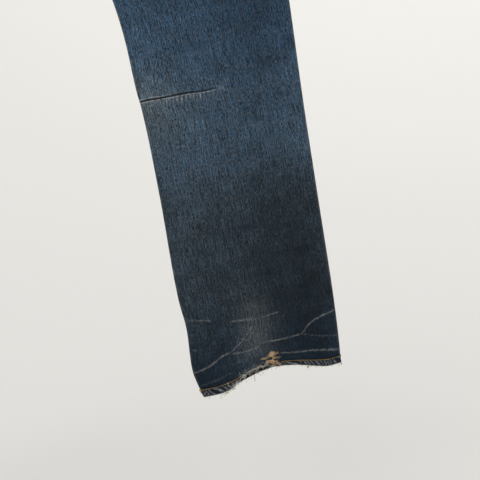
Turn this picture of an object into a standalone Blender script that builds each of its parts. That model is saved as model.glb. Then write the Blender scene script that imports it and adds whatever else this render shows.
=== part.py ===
"""Straight leg jeans, hung by the waist with the legs apart.

Metres, +Z up. The origin is the middle of the waist opening, level with the waistband's top edge at the side
seams, where the garment is held. The front faces -Y and the wearer's left is +X.

Every piece is a wall on one form. A place on the form is a face (BACK or FRONT), u and h. u runs across one
half of the garment, from 0 at the inseam or the centre seam to 1 at the outseam. h runs up it through the
stations HEM, KNEE, CROTCH, WAIST and TOP. Both halves are built from the same points, mirrored in X.
"""

import math

import bmesh
import bpy
from mathutils import Vector

# Cloth
DENIM = 0.0015  # one layer of heavy denim, as a wall
SEAM_GAP = 0.0003  # left between neighbouring pieces
HEM_WALL = 0.0026  # the hem is turned twice
HEM_HEIGHT = 0.0125
BAND_WALL = 0.0028  # the waistband is doubled
PATCH = 0.0012  # pockets, fly and loops, which lie on a panel
BAND_LIFT = 0.0007  # of the waistband's outer side over the form
HEM_LIFT = 0.0005
PATCH_CLEAR = 2 * SEAM_GAP  # under a patch, more than a seam gap since a panel's flat faces cut its curve
FLY_CLEAR = 2.5 * SEAM_GAP
FACING_CLEAR = 2.5 * SEAM_GAP

# Heights of the stations, in metres below the origin
CROTCH_DROP = 0.285
KNEE_DROP = 0.614
HEM_DROP = 1.0728
OUTER_CROTCH_DROP = 0.225  # rows rise towards the outseam, square to a leg that stands out sideways
OUTER_KNEE_DROP = 0.575
OUTER_HEM_DROP = 1.0182
BAND_HEIGHT = 0.040
BACK_RISE = 0.022  # the waist is higher at the centre back than at the sides
FRONT_DIP = 0.012  # and lower at the centre front
YOKE_CENTRE = 0.078
YOKE_SIDE = 0.040
TRIM = SEAM_GAP / (CROTCH_DROP - BAND_HEIGHT)  # a seam gap in h, between the crotch and the waist

# Outlines of one half, as (height, distance from the centre plane)
INSEAM = (
    (-0.285, 0.000),
    (-0.360, 0.0476),
    (-0.4535, 0.0905),
    (-0.516, 0.1100),
    (-0.594, 0.1278),
    (-0.625, 0.1365),
    (-0.765, 0.1654),
    (-0.922, 0.1940),
    (-0.968, 0.2065),
    (-1.031, 0.2155),
    (-1.062, 0.2280),
    (-1.0728, 0.2335),
)
OUTSEAM = (
    (0.000, 0.242),
    (-0.040, 0.255),
    (-0.090, 0.277),
    (-0.140, 0.298),
    (-0.190, 0.316),
    (-0.240, 0.330),
    (-0.285, 0.3415),
    (-0.4535, 0.3668),
    (-0.6095, 0.3885),
    (-0.7655, 0.4125),
    (-0.9215, 0.4366),
    (-0.9840, 0.4444),
    (-1.0182, 0.4475),
)

HEM, KNEE, CROTCH, WAIST, TOP = range(5)
SEAT = 2.45  # h of the fullest part of the seat
BACK, FRONT = 1, -1

# Half depth of the hollow form at each station, behind and in front of the side seams
BACK_DEPTH = ((HEM, 0.0165), (KNEE, 0.0185), (CROTCH, 0.028), (SEAT, 0.037), (WAIST, 0.027), (TOP, 0.024))
FRONT_DEPTH = ((HEM, 0.0155), (KNEE, 0.0165), (CROTCH, 0.025), (SEAT, 0.029), (WAIST, 0.023), (TOP, 0.020))
EDGE_RADIUS = ((HEM, 0.0036), (CROTCH, 0.0040), (2.4, 0.0056), (TOP, 0.0056))  # of the folds at the seams
LENS_POWER = 0.75
FORK_HEIGHT = 0.055  # the crotch seam turns from level to upright over this height
FORK_BLEND = 0.130  # away from that seam, the two legs join into the seat over this height
FORK_REACH = 0.12  # in u
FOLD_SHARE = 0.30  # a row's second point lies this far round the fold at its end
ROW_SPANS = 8  # between the two folds of a row

# Wear and shaping
ARCH_BACK = 0.0205  # the heel edge is worn away in an arch
ARCH_FRONT = 0.0160
ARCH_START, ARCH_PEAK, ARCH_END = 0.12, 0.53, 0.93
ARCH_REACH = 0.22  # in h
DART_END = 0.475  # the knee dart runs from the inseam to this u
DART_DEPTH = 0.0016
DART_HALF = 0.007  # in h

# Front pocket openings, fly and back pockets
SCOOP_WIDTH = 0.095
SCOOP_DEPTH = 0.080
FACING_UNDERLAP = 0.014
FLY_LEFT, FLY_RIGHT = 0.040, 0.006  # from the centre seam, on the wearer's left and right
FLY_LENGTH = 0.165
FLY_STRAIGHT, FLY_ROUND = 0.62, 0.40  # shares of its length: straight side, then the rounded foot
POCKET_TOP = -0.116
POCKET_SIDE = 0.138
POCKET_POINT = 0.160
POCKET_CENTRE = 0.139
POCKET_WIDTH = 0.150
POCKET_TAPER = 0.126
POCKET_TILT = 0.040  # rise of the pocket mouth towards the side, per metre

# Trim
LOOP_WIDTH = 0.012
LOOP_BULGE = 0.0020
LOOP_TAIL = 0.055  # in h, sewn down under the waistband
LOOP_BACK_X = 0.150
LOOP_FRONT_X = 0.112
BUTTON_RADIUS = 0.0085
RIVET_RADIUS = 0.0045
RIVET_WAIST = (12, -0.007, 0.002)  # angle along the pocket opening, then x and z from its edge there
RIVET_SIDE = (80, -0.004, -0.009)
CUTTER_MARGIN = 0.05  # of the pocket opening's cutter past the panel
BAND_LAP = 0.012  # the left end of the waistband reaches this far past the centre

# Colours, roughness and metallic
DENIM_LOOK = ((0.030, 0.052, 0.082, 1), 0.92, 0.0)
HEM_LOOK = ((0.020, 0.034, 0.056, 1), 0.95, 0.0)
BRASS_LOOK = ((0.45, 0.30, 0.12, 1), 0.42, 1.0)
COPPER_LOOK = ((0.50, 0.24, 0.13, 1), 0.45, 1.0)


def through(points, at):
    """The value at a place of a smooth curve through (place, value) points, which never overshoots them."""
    points = sorted(points)
    if at <= points[0][0]:
        return points[0][1]
    if at >= points[-1][0]:
        return points[-1][1]
    spans = [b[0] - a[0] for a, b in zip(points, points[1:])]
    slopes = [(b[1] - a[1]) / s for a, b, s in zip(points, points[1:], spans)]

    def tangent(k):
        if k in (0, len(points) - 1):
            return slopes[min(k, len(slopes) - 1)]
        before, after = slopes[k - 1], slopes[k]
        if before * after <= 0:
            return 0.0
        heavy, light = 2 * spans[k] + spans[k - 1], spans[k] + 2 * spans[k - 1]
        return (heavy + light) / (heavy / before + light / after)

    k = max(i for i, p in enumerate(points[:-1]) if p[0] <= at)
    t = (at - points[k][0]) / spans[k]
    start, end = points[k][1], points[k + 1][1]
    return (
        start * (1 + 2 * t) * (1 - t) ** 2
        + tangent(k) * spans[k] * t * (1 - t) ** 2
        + end * t * t * (3 - 2 * t)
        + tangent(k + 1) * spans[k] * t * t * (t - 1)
    )


def straight(points, at):
    """The value at a place between (place, value) points joined by straight lines."""
    for (a, start), (b, end) in zip(points, points[1:]):
        if at <= b:
            return start + (end - start) * (at - a) / (b - a)
    return points[-1][1]


def inner_z(face, h):
    centre = BACK_RISE if face == BACK else -FRONT_DIP
    stations = (
        (HEM, -HEM_DROP),
        (KNEE, -KNEE_DROP),
        (CROTCH, -CROTCH_DROP),
        (WAIST, centre - BAND_HEIGHT),
        (TOP, centre),
    )
    return straight(stations, h)


def outer_z(h):
    stations = (
        (HEM, -OUTER_HEM_DROP),
        (KNEE, -OUTER_KNEE_DROP),
        (CROTCH, -OUTER_CROTCH_DROP),
        (WAIST, -BAND_HEIGHT),
        (TOP, 0.0),
    )
    return straight(stations, h)


def ends(face, h):
    """The two ends (x, z) of a row: on the inseam or centre seam, and on the outseam."""
    zi, zo = inner_z(face, h), outer_z(h)
    xi = SEAM_GAP / 2 + (through(INSEAM, zi) if h < CROTCH else 0.0)
    return (xi, zi), (through(OUTSEAM, zo), zo)


def arch(face, u, h):
    """How far the worn heel edge lifts the lowest rows."""
    if not ARCH_START < u < ARCH_END or h > ARCH_REACH:
        return 0.0
    rising = u < ARCH_PEAK
    t = (u - ARCH_START) / (ARCH_PEAK - ARCH_START) if rising else (ARCH_END - u) / (ARCH_END - ARCH_PEAK)
    height = ARCH_BACK if face == BACK else ARCH_FRONT
    return height * math.sin(math.pi / 2 * t) ** 1.5 * (1 - h / ARCH_REACH) ** 2


def rounding(distance, radius):
    """Height of a quarter circle that starts at a fold, at a distance from it."""
    return radius * math.sqrt(max(0.0, 1 - (1 - min(distance / radius, 1.0)) ** 2))


def dart(face, u, h):
    """Depth of the sewn crease across the back of the knee."""
    if face == FRONT or u > DART_END or abs(h - KNEE) > DART_HALF:
        return 0.0
    return DART_DEPTH * math.sqrt(1 - u / DART_END) * (1 - abs(h - KNEE) / DART_HALF)


def depth(face, u, h, width):
    """Half depth of the form: a flat tube in each leg, and one flat tube for both halves over the crotch."""
    full = through(BACK_DEPTH if face == BACK else FRONT_DEPTH, h)
    radius = through(EDGE_RADIUS, h)
    near_out = rounding((1 - u) * width, radius)
    leg = min(rounding(u * width, radius), near_out) + (full - radius) * (4 * u * (1 - u)) ** LENS_POWER
    if h <= CROTCH:
        return max(leg - dart(face, u, h), 0.0)
    seat = near_out + (full - radius) * (1 - u * u) ** LENS_POWER
    climbed = inner_z(face, h) + CROTCH_DROP
    quick, slow = min(climbed / FORK_HEIGHT, 1.0), min(climbed / FORK_BLEND, 1.0)
    share = slow * slow * (3 - 2 * slow)
    share += (math.sqrt(max(0.0, 1 - (1 - quick) ** 2)) - share) * math.exp(-((u / FORK_REACH) ** 2))
    return leg + (seat - leg) * share


def form(face, u, h):
    """A point of the form's outer surface on the +X half."""
    (xi, zi), (xo, zo) = ends(face, h)
    level = min(max(h - CROTCH, 0.0), 1.0)
    across = u + ((1 - math.cos(math.pi * u)) / 2 - u) * level
    x = xi + (xo - xi) * u
    z = zi + (zo - zi) * across + arch(face, u, h)
    width = math.hypot(xo - xi, zo - zi)
    return Vector((x, face * (SEAM_GAP / 2 + depth(face, u, h, width)), z))


def outward(face, u, h):
    """The form's outward direction. At a seam it stays in the seam's plane, so that neighbours don't meet."""
    step = 2e-4
    across = form(face, min(u + step, 1), h) - form(face, max(u - step, 0), h)
    up = form(face, u, min(h + step, TOP)) - form(face, u, max(h - step, HEM))
    normal = up.cross(across) * face
    if u > 1 - 1e-6 or (u < 1e-6 and h <= CROTCH):
        normal.y = 0.0
    elif u < 1e-6:
        normal.x = 0.0
    return normal.normalized()


def located(face, x, z):
    """The (u, h) of the place at x and z, above the knee."""
    low, high = float(KNEE), float(TOP)
    for _ in range(40):
        h = (low + high) / 2
        (xi, _), (xo, _) = ends(face, h)
        u = min(max((x - xi) / (xo - xi), 0.0), 1.0)
        low, high = (h, high) if form(face, u, h).z < z else (low, h)
    return u, h


def columns(face, h):
    """The u of each point of a row, close together on the folds at its two ends."""
    (xi, zi), (xo, zo) = ends(face, h)
    fold = through(EDGE_RADIUS, h) / math.hypot(xo - xi, zo - zi)
    inside = [fold + (1 - 2 * fold) * i / ROW_SPANS for i in range(ROW_SPANS + 1)]
    return [0.0, FOLD_SHARE * fold] + inside + [1 - FOLD_SHARE * fold, 1.0]


def look(name, colour, roughness, metallic):
    material = bpy.data.materials.get(name) or bpy.data.materials.new(name)
    material.use_nodes = True
    shader = material.node_tree.nodes["Principled BSDF"]
    shader.inputs["Base Color"].default_value = colour
    shader.inputs["Roughness"].default_value = roughness
    shader.inputs["Metallic"].default_value = metallic
    return material


def solid(name, points, faces, material, smooth=True):
    """One named object from points and faces that close, with its faces turned outwards."""
    mesh = bpy.data.meshes.new(name)
    mesh.from_pydata(points, [], faces)
    work = bmesh.new()
    work.from_mesh(mesh)
    bmesh.ops.recalc_face_normals(work, faces=work.faces)
    work.to_mesh(mesh)
    work.free()
    if smooth:
        mesh.shade_smooth()
        mesh.set_sharp_from_angle(angle=math.radians(50))
    mesh.materials.append(material)
    made = bpy.data.objects.new(name, mesh)
    bpy.context.scene.collection.objects.link(made)
    return made


def wall(name, rows, lift, thickness, material, closed=False):
    """A wall from rows of (point, outward direction): its outer side is lifted off them, its inner side is in."""
    count = len(rows[0])
    points = [p + n * lift for row in rows for p, n in row]
    points += [p + n * (lift - thickness) for row in rows for p, n in row]
    half = len(rows) * count
    faces = []
    around = count if closed else count - 1
    for j in range(len(rows) - 1):
        for i in range(around):
            a, b = j * count + i, j * count + (i + 1) % count
            faces.append((a, b, b + count, a + count))
            faces.append((half + a, half + a + count, half + b + count, half + b))
    last = (len(rows) - 1) * count
    for i in range(around):
        k = (i + 1) % count
        faces.append((i, half + i, half + k, k))
        faces.append((last + i, last + k, half + last + k, half + last + i))
    if not closed:
        for j in range(len(rows) - 1):
            for i in (0, count - 1):
                a = j * count + i
                faces.append((a, a + count, half + a + count, half + a))
    return solid(name, points, faces, material)


def mirrored(rows, side):
    """Rows as they are for the wearer's left, or mirrored for the right."""
    if side > 0:
        return rows
    flip = Vector((-1, 1, 1))
    return [[(p * flip, n * flip) for p, n in row] for row in rows]


def side_name(side):
    return "left" if side > 0 else "right"


def spot(face, u, h):
    return form(face, u, h), outward(face, u, h)


def spread(low, high, count):
    return [low + (high - low) * i / count for i in range(count + 1)]


def seam_h(metres):
    """A height along a leg near the hem, from metres to h."""
    return metres / (HEM_DROP - KNEE_DROP)


LEG_ROWS = (
    [seam_h(HEM_HEIGHT + SEAM_GAP / 2), 0.055, 0.09, 0.13, 0.19, 0.30, 0.45, 0.62, 0.80, 0.93]
    + [KNEE - DART_HALF, KNEE, KNEE + DART_HALF]
    + [1.08, 1.22, 1.38, 1.54, 1.70, 1.84, 1.94, CROTCH]
)
BACK_SEAT_ROWS = (0.05, 0.12, 0.21, 0.32, 0.44, 0.58, 0.72, 0.86, 1.0)  # shares of the way to the yoke seam
FRONT_SEAT_ROWS = (0.05, 0.14, 0.27, 0.42, 0.58, 0.74, 0.88, 1.0)  # and of the way to the waist


def back_panel(side, material):
    """Back leg and seat, from the hem up to the yoke seam, with the knee dart."""
    rows = [[spot(BACK, u, h) for u in columns(BACK, h)] for h in LEG_ROWS]
    for t in BACK_SEAT_ROWS:
        level = CROTCH + t * (yoke_h(0.0) - CROTCH)
        row = []
        for u in columns(BACK, level):
            top = yoke_h(u) - TRIM / 2
            row.append(spot(BACK, u, CROTCH + t * (top - CROTCH)))
        rows.append(row)
    return wall(f"back_{side_name(side)}", mirrored(rows, side), 0.0, DENIM, material)


def yoke_h(u):
    """The height of the yoke seam, deeper at the centre back than at the side."""
    centre = WAIST - YOKE_CENTRE / (CROTCH_DROP - BAND_HEIGHT + BACK_RISE)
    outer = WAIST - YOKE_SIDE / (OUTER_CROTCH_DROP - BAND_HEIGHT)
    return centre + (outer - centre) * u


def yoke(side, material):
    """Shaped piece between the back panel and the waistband."""
    rows = []
    for t in spread(0, 1, 2):
        row = []
        for u in columns(BACK, (yoke_h(0.5) + WAIST) / 2):
            low, high = yoke_h(u) + TRIM, WAIST - TRIM
            row.append(spot(BACK, u, low + (high - low) * t))
        rows.append(row)
    return wall(f"yoke_{side_name(side)}", mirrored(rows, side), 0.0, DENIM, material)


def scoop(angle):
    """The (x, z) of a place on the edge of the front pocket opening, 0 at the waist and 90 at the outseam."""
    _, (x_side, z_side) = ends(FRONT, WAIST)
    sine, cosine = math.sin(math.radians(angle)), math.cos(math.radians(angle))
    z = z_side - SCOOP_DEPTH * sine
    return x_side + (through(OUTSEAM, z) - x_side) * sine - SCOOP_WIDTH * cosine, z


def scoop_cutter(side):
    """Block that takes the pocket opening out of the top outer corner of a front panel."""
    edge = [scoop(angle) for angle in spread(0, 90, 10)]
    far = edge[-1][0] + CUTTER_MARGIN
    outline = [(edge[0][0], CUTTER_MARGIN)] + edge + [(far, edge[-1][1]), (far, CUTTER_MARGIN)]
    points = [Vector((side * x, y, z)) for y in (-CUTTER_MARGIN, CUTTER_MARGIN) for x, z in outline]
    count = len(outline)
    faces = [tuple(range(count)), tuple(range(count, 2 * count))]
    faces += [(i, (i + 1) % count, count + (i + 1) % count, count + i) for i in range(count)]
    material = look("cutter", (0.5, 0.5, 0.5, 1), 0.5, 0.0)
    cutter = solid(f"scoop_cutter_{side_name(side)}", points, faces, material, smooth=False)
    cutter.hide_render = True
    cutter.display_type = "WIRE"
    return cutter


def front_panel(side, material):
    """Front leg and fork, from the hem up to the waist, with the pocket opening cut out of its corner."""
    rows = [[spot(FRONT, u, h) for u in columns(FRONT, h)] for h in LEG_ROWS]
    for t in FRONT_SEAT_ROWS:
        h = CROTCH + t * (WAIST - TRIM - CROTCH)
        rows.append([spot(FRONT, u, h) for u in columns(FRONT, h)])
    panel = wall(f"front_{side_name(side)}", mirrored(rows, side), 0.0, DENIM, material)
    cut = panel.modifiers.new("pocket_opening", "BOOLEAN")
    cut.operation = "DIFFERENCE"
    cut.solver = "EXACT"
    cut.object = scoop_cutter(side)
    return panel


def pocket_facing(side, material):
    """Denim that shows inside the front pocket opening, under the front panel's edge."""
    rows = []
    for angle in [90] + spread(90, 0, 5):
        x, z = scoop(angle)
        z -= 0 if rows else FACING_UNDERLAP
        first, h = located(FRONT, x - FACING_UNDERLAP, z)
        h = min(h, WAIST - TRIM)
        fold = through(EDGE_RADIUS, h) / ends(FRONT, h)[1][0]
        first = min(first, 1 - 4 * fold)
        row = spread(first, 1 - fold, 5) + [1 - FOLD_SHARE * fold, 1.0]
        rows.append([spot(FRONT, u, h) for u in row])
    lift = -DENIM - FACING_CLEAR
    return wall(f"pocket_facing_{side_name(side)}", mirrored(rows, side), lift, PATCH, material)


def back_pocket(side, material):
    """Patch pocket with a pointed bottom, laid on the back panel."""
    rows = []
    for t in spread(0, 1, 6):
        row = []
        for s in spread(-1, 1, 6):
            half = (POCKET_WIDTH + (POCKET_TAPER - POCKET_WIDTH) * t) / 2
            x = POCKET_CENTRE + s * half
            top = POCKET_TOP + POCKET_TILT * (x - POCKET_CENTRE)
            drop = POCKET_SIDE + (POCKET_POINT - POCKET_SIDE) * (1 - abs(s))
            row.append(spot(BACK, *located(BACK, x, top - drop * t)))
        rows.append(row)
    lift = PATCH_CLEAR + PATCH
    return wall(f"back_pocket_{side_name(side)}", mirrored(rows, side), lift, PATCH, material)


def hem(side, material):
    """Turned hem: a closed band round the foot of the leg."""
    rows = []
    for h in (HEM, seam_h(HEM_HEIGHT - SEAM_GAP / 2)):
        across = columns(BACK, h)
        ring = [spot(BACK, u, h) for u in across] + [spot(FRONT, u, h) for u in across[-2:0:-1]]
        for end in (0, len(across) - 1):
            ring[end][0].y = 0.0
        rows.append(ring)
    return wall(f"hem_{side_name(side)}", mirrored(rows, side), HEM_LIFT, HEM_WALL, material, closed=True)


def waistband(material):
    """Doubled band round the waist, open at the fly, where its left end reaches past the centre."""
    flip = Vector((-1, 1, 1))
    gap = Vector((SEAM_GAP / 2, 0, 0))
    rows = []
    for h in (WAIST + SEAM_GAP / 2 / BAND_HEIGHT, (WAIST + TOP) / 2, TOP):
        slit = BAND_LAP / ends(BACK, h)[1][0]
        front = [u for u in columns(FRONT, h) if u > slit * 1.5]
        left = [spot(FRONT, u, h) for u in [0.0, slit / 2] + front]
        right = [(p * flip, n * flip) for p, n in [spot(FRONT, u, h) for u in [slit] + front]]
        back = [spot(BACK, u, h) for u in columns(BACK, h)]
        back_right = [(p * flip, n * flip) for p, n in back]
        centre = (back[0][0] * Vector((0, 1, 1)), back[0][1])
        end, facing = right[0]
        lap = [(end + gap, facing), (left[1][0] * flip, left[1][1] * flip)]
        right[0] = (end - gap, facing)
        rows.append(lap + left[:-1] + back[:0:-1] + [centre] + back_right[1:] + right[-2::-1])
    return wall("waistband", rows, BAND_LIFT, BAND_WALL, material)


def fly_flap(material):
    """The lapped edge of the left front over the fly, with a rounded foot."""
    rows = []
    start = inner_z(FRONT, WAIST) - SEAM_GAP / 2
    for t in spread(0, 1, 7):
        reach = FLY_LEFT * math.sqrt(max(0.0, 1 - max(0.0, (t - FLY_STRAIGHT) / FLY_ROUND) ** 2))
        row = []
        for x in [-FLY_RIGHT] + spread(0, reach, 4):
            point, normal = spot(FRONT, *located(FRONT, abs(x), start - FLY_LENGTH * t))
            sign = Vector((-1 if x < 0 else 1, 1, 1))
            if t == 0:
                point.z = min(point.z, start)
            point.x = max(abs(x), 1e-5)
            row.append((point * sign, normal * sign))
        rows.append(row)
    return wall("fly_flap", rows, FLY_CLEAR + PATCH, PATCH, material)


def belt_loop(name, face, x, material):
    """Strap over the waistband, sewn down at its two ends and standing off between them."""
    rows = []
    for t in spread(0, 1, 6):
        h = WAIST - LOOP_TAIL + t * (TOP - WAIST + LOOP_TAIL)
        off = BAND_LIFT + SEAM_GAP + PATCH + LOOP_BULGE * math.sin(math.pi * t) ** 0.6
        row = []
        for across in (x - LOOP_WIDTH / 2, x, x + LOOP_WIDTH / 2):
            sign = Vector((-1 if across < 0 else 1, 1, 1))
            point, normal = spot(face, abs(across) / ends(face, h)[1][0], h)
            point.x = abs(across)
            row.append(((point + normal * off) * sign, normal * sign))
        rows.append(row)
    return wall(name, rows, 0.0, PATCH, material)


def turned(name, profile, place, axis, material, steps=20):
    """A small round piece turned about an axis, from (radius, height) pairs that start and end on the axis."""
    turn = Vector((0, 0, 1)).rotation_difference(axis)
    points = [place + turn @ Vector((0, 0, profile[0][1]))]
    for radius, height in profile[1:-1]:
        for k in range(steps):
            angle = 2 * math.pi * k / steps
            spin = Vector((radius * math.cos(angle), radius * math.sin(angle), height))
            points.append(place + turn @ spin)
    points.append(place + turn @ Vector((0, 0, profile[-1][1])))
    rings = len(profile) - 2
    faces = [(0, 1 + (k + 1) % steps, 1 + k) for k in range(steps)]
    for j in range(rings - 1):
        for k in range(steps):
            a, b = 1 + j * steps + k, 1 + j * steps + (k + 1) % steps
            faces.append((a, b, b + steps, a + steps))
    base = 1 + (rings - 1) * steps
    faces += [(base + k, base + (k + 1) % steps, len(points) - 1) for k in range(steps)]
    return solid(name, points, faces, material)


def rivet(name, side, place, material):
    """Copper rivet at one end of a front pocket opening."""
    angle, across, up = place
    x, z = scoop(angle)
    point, normal = spot(FRONT, *located(FRONT, x + across, z + up))
    flip = Vector((side, 1, 1))
    r = RIVET_RADIUS
    profile = ((0, 0), (r, 0), (r, 0.0005), (0.72 * r, 0.0011), (0.30 * r, 0.0013), (0.22 * r, 0.0019), (0, 0.0020))
    return turned(name, profile, (point + normal * PATCH_CLEAR) * flip, normal * flip, material, steps=14)


def waist_button(material):
    """Shank button over the lapped ends of the waistband."""
    h = (WAIST + TOP) / 2
    point, normal = spot(FRONT, 0.0, h)
    r = BUTTON_RADIUS
    profile = (
        (0, 0),
        (0.45 * r, 0),
        (0.45 * r, 0.0012),
        (r, 0.0014),
        (r, 0.0026),
        (0.86 * r, 0.0032),
        (0.78 * r, 0.0027),
        (0, 0.0025),
    )
    place = Vector((0, point.y, point.z)) + normal * (BAND_LIFT + PATCH_CLEAR)
    return turned("waist_button", profile, place, normal, material)


def build():
    for old in list(bpy.data.objects):
        bpy.data.objects.remove(old)
    denim = look("denim", *DENIM_LOOK)
    turned_denim = look("hem_denim", *HEM_LOOK)
    brass = look("brass", *BRASS_LOOK)
    copper = look("copper", *COPPER_LOOK)
    for side in (1, -1):
        back_panel(side, denim)
        front_panel(side, denim)
        yoke(side, denim)
        pocket_facing(side, denim)
        back_pocket(side, denim)
        hem(side, turned_denim)
        rivet(f"rivet_waist_{side_name(side)}", side, RIVET_WAIST, copper)
        rivet(f"rivet_side_{side_name(side)}", side, RIVET_SIDE, copper)
    waistband(denim)
    fly_flap(denim)
    waist_button(brass)
    for name, face, x in (
        ("belt_loop_back", BACK, 0.0),
        ("belt_loop_back_left", BACK, LOOP_BACK_X),
        ("belt_loop_back_right", BACK, -LOOP_BACK_X),
        ("belt_loop_front_left", FRONT, LOOP_FRONT_X),
        ("belt_loop_front_right", FRONT, -LOOP_FRONT_X),
    ):
        belt_loop(name, face, x, denim)


build()
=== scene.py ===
"""Worn straight leg jeans, drawn as cloth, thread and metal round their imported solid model.

Metres, +Z up. The front faces -Y and the wearer's left is +X. The origin is the middle of the waist opening.
The cloth lies on one form. A place on it is a face (BACK or FRONT), u and h. u runs across one half of the
garment, from 0 at the inseam or the centre seam to 1 at the outseam. h runs up it through the stations HEM,
KNEE, CROTCH, WAIST and TOP. Wear is placed by (across, up) in millimetres: across from the inseam, and up the
leg from the hem edge.
"""

import math

import bpy
import numpy as np
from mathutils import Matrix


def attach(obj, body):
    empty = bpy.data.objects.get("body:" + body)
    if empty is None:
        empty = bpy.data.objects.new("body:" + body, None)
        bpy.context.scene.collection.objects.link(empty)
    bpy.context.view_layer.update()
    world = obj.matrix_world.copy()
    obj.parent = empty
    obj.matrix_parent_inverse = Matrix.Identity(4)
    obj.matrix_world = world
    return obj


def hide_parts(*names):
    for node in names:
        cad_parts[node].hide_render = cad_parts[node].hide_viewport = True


bl_info = {
    "name": "Worn straight leg jeans",
    "version": (1, 0, 0),
    "blender": (4, 5, 0),
    "location": "3D View > Sidebar > Jeans",
    "description": "Builds worn denim jeans, with their stitching, fray and trim, round a packed model",
    "category": "Object",
}

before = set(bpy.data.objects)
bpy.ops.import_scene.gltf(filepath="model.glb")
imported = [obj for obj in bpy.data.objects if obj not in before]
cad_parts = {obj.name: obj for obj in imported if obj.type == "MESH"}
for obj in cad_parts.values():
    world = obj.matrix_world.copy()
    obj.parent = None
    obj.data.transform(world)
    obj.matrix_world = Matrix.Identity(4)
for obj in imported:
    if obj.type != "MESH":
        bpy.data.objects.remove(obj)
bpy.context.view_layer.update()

MM = 0.001
BODY = "root"

# The form, as the solid model has it
SEAM_GAP = 0.0003
CROTCH_DROP = 0.285
KNEE_DROP = 0.614
HEM_DROP = 1.0728
OUTER_CROTCH_DROP = 0.225
OUTER_KNEE_DROP = 0.575
OUTER_HEM_DROP = 1.0182
BAND_HEIGHT = 0.040
BACK_RISE = 0.022
FRONT_DIP = 0.012
YOKE_CENTRE = 0.078
YOKE_SIDE = 0.040
TRIM = SEAM_GAP / (CROTCH_DROP - BAND_HEIGHT)
# Places (z, x) down the two side seams
INSEAM = (
    (-0.285, 0.000),
    (-0.360, 0.0476),
    (-0.4535, 0.0905),
    (-0.516, 0.1100),
    (-0.594, 0.1278),
    (-0.625, 0.1365),
    (-0.765, 0.1654),
    (-0.922, 0.1940),
    (-0.968, 0.2065),
    (-1.031, 0.2155),
    (-1.062, 0.2280),
    (-1.0728, 0.2335),
)
OUTSEAM = (
    (0.000, 0.242),
    (-0.040, 0.255),
    (-0.090, 0.277),
    (-0.140, 0.298),
    (-0.190, 0.316),
    (-0.240, 0.330),
    (-0.285, 0.3415),
    (-0.4535, 0.3668),
    (-0.6095, 0.3885),
    (-0.7655, 0.4125),
    (-0.9215, 0.4366),
    (-0.9840, 0.4444),
    (-1.0182, 0.4475),
)
HEM, KNEE, CROTCH, WAIST, TOP = range(5)
STATIONS = (HEM, KNEE, CROTCH, WAIST, TOP)
SEAT = 2.45
BACK, FRONT = 1, -1
LEFT, RIGHT = 1, -1
# Half depth of the form and radius of its folds at heights h
BACK_DEPTH = ((HEM, 0.0165), (KNEE, 0.0185), (CROTCH, 0.028), (SEAT, 0.037), (WAIST, 0.027), (TOP, 0.024))
FRONT_DEPTH = ((HEM, 0.0155), (KNEE, 0.0165), (CROTCH, 0.025), (SEAT, 0.029), (WAIST, 0.023), (TOP, 0.020))
EDGE_RADIUS = ((HEM, 0.0036), (CROTCH, 0.0040), (2.4, 0.0056), (TOP, 0.0056))
FOLD_TURN = (0, 0.06, 0.18, 0.38, 0.66)
LENS_POWER = 0.75
FORK_HEIGHT = 0.055
FORK_BLEND = 0.130
FORK_REACH = 0.12
ARCH_BACK = 0.0205
ARCH_FRONT = 0.0160
ARCH_START, ARCH_PEAK, ARCH_END = 0.12, 0.53, 0.93
ARCH_REACH = 0.22
DART_END = 0.475
DART_DEPTH = 0.0016
DART_HALF = 0.007
SCOOP_WIDTH = 0.095
SCOOP_DEPTH = 0.080
FACING_UNDERLAP = 0.014
FLY_LEFT, FLY_RIGHT = 0.040, 0.006
FLY_LENGTH = 0.165
FLY_STRAIGHT, FLY_ROUND = 0.62, 0.40
POCKET_TOP = -0.116
POCKET_SIDE = 0.138
POCKET_POINT = 0.160
POCKET_CENTRE = 0.139
POCKET_WIDTH = 0.150
POCKET_TAPER = 0.126
POCKET_TILT = 0.040
BAND_LIFT = 0.0007
HEM_LIFT = 0.0005
LOOP_TAIL = 0.055
LOOP_HALF = 0.006
LOOP_BACK_X = 0.150
LOOP_FRONT_X = 0.112
BELT_LOOPS = (
    ("belt_loop_back", BACK, 0.0),
    ("belt_loop_back_left", BACK, LOOP_BACK_X),
    ("belt_loop_back_right", BACK, -LOOP_BACK_X),
    ("belt_loop_front_left", FRONT, LOOP_FRONT_X),
    ("belt_loop_front_right", FRONT, -LOOP_FRONT_X),
)
# Rivets: degrees round the pocket opening, then metres from its edge along x and z
RIVETS = (("waist", 12, -0.007, 0.002), ("side", 80, -0.004, -0.009))

# Distance up the middle of the leg at each station, for placing wear
UP_AT_STATION = (0.0, 0.451, 0.791, 1.017, 1.060)


def to_linear(level):
    """The linear value of an sRGB level from 0 to 1."""
    level = np.maximum(level, 0)
    return np.where(level <= 0.04045, level / 12.92, ((level + 0.055) / 1.055) ** 2.4)


def linear(code):
    """An sRGB hex colour as linear RGBA."""
    return [float(to_linear(int(code[k : k + 2], 16) / 255)) for k in (0, 2, 4)] + [1.0]


# ---------------------------------------------------------------- settings


LENGTH = {"subtype": "DISTANCE"}
COLOUR = {"size": 4, "subtype": "COLOR"}


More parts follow.
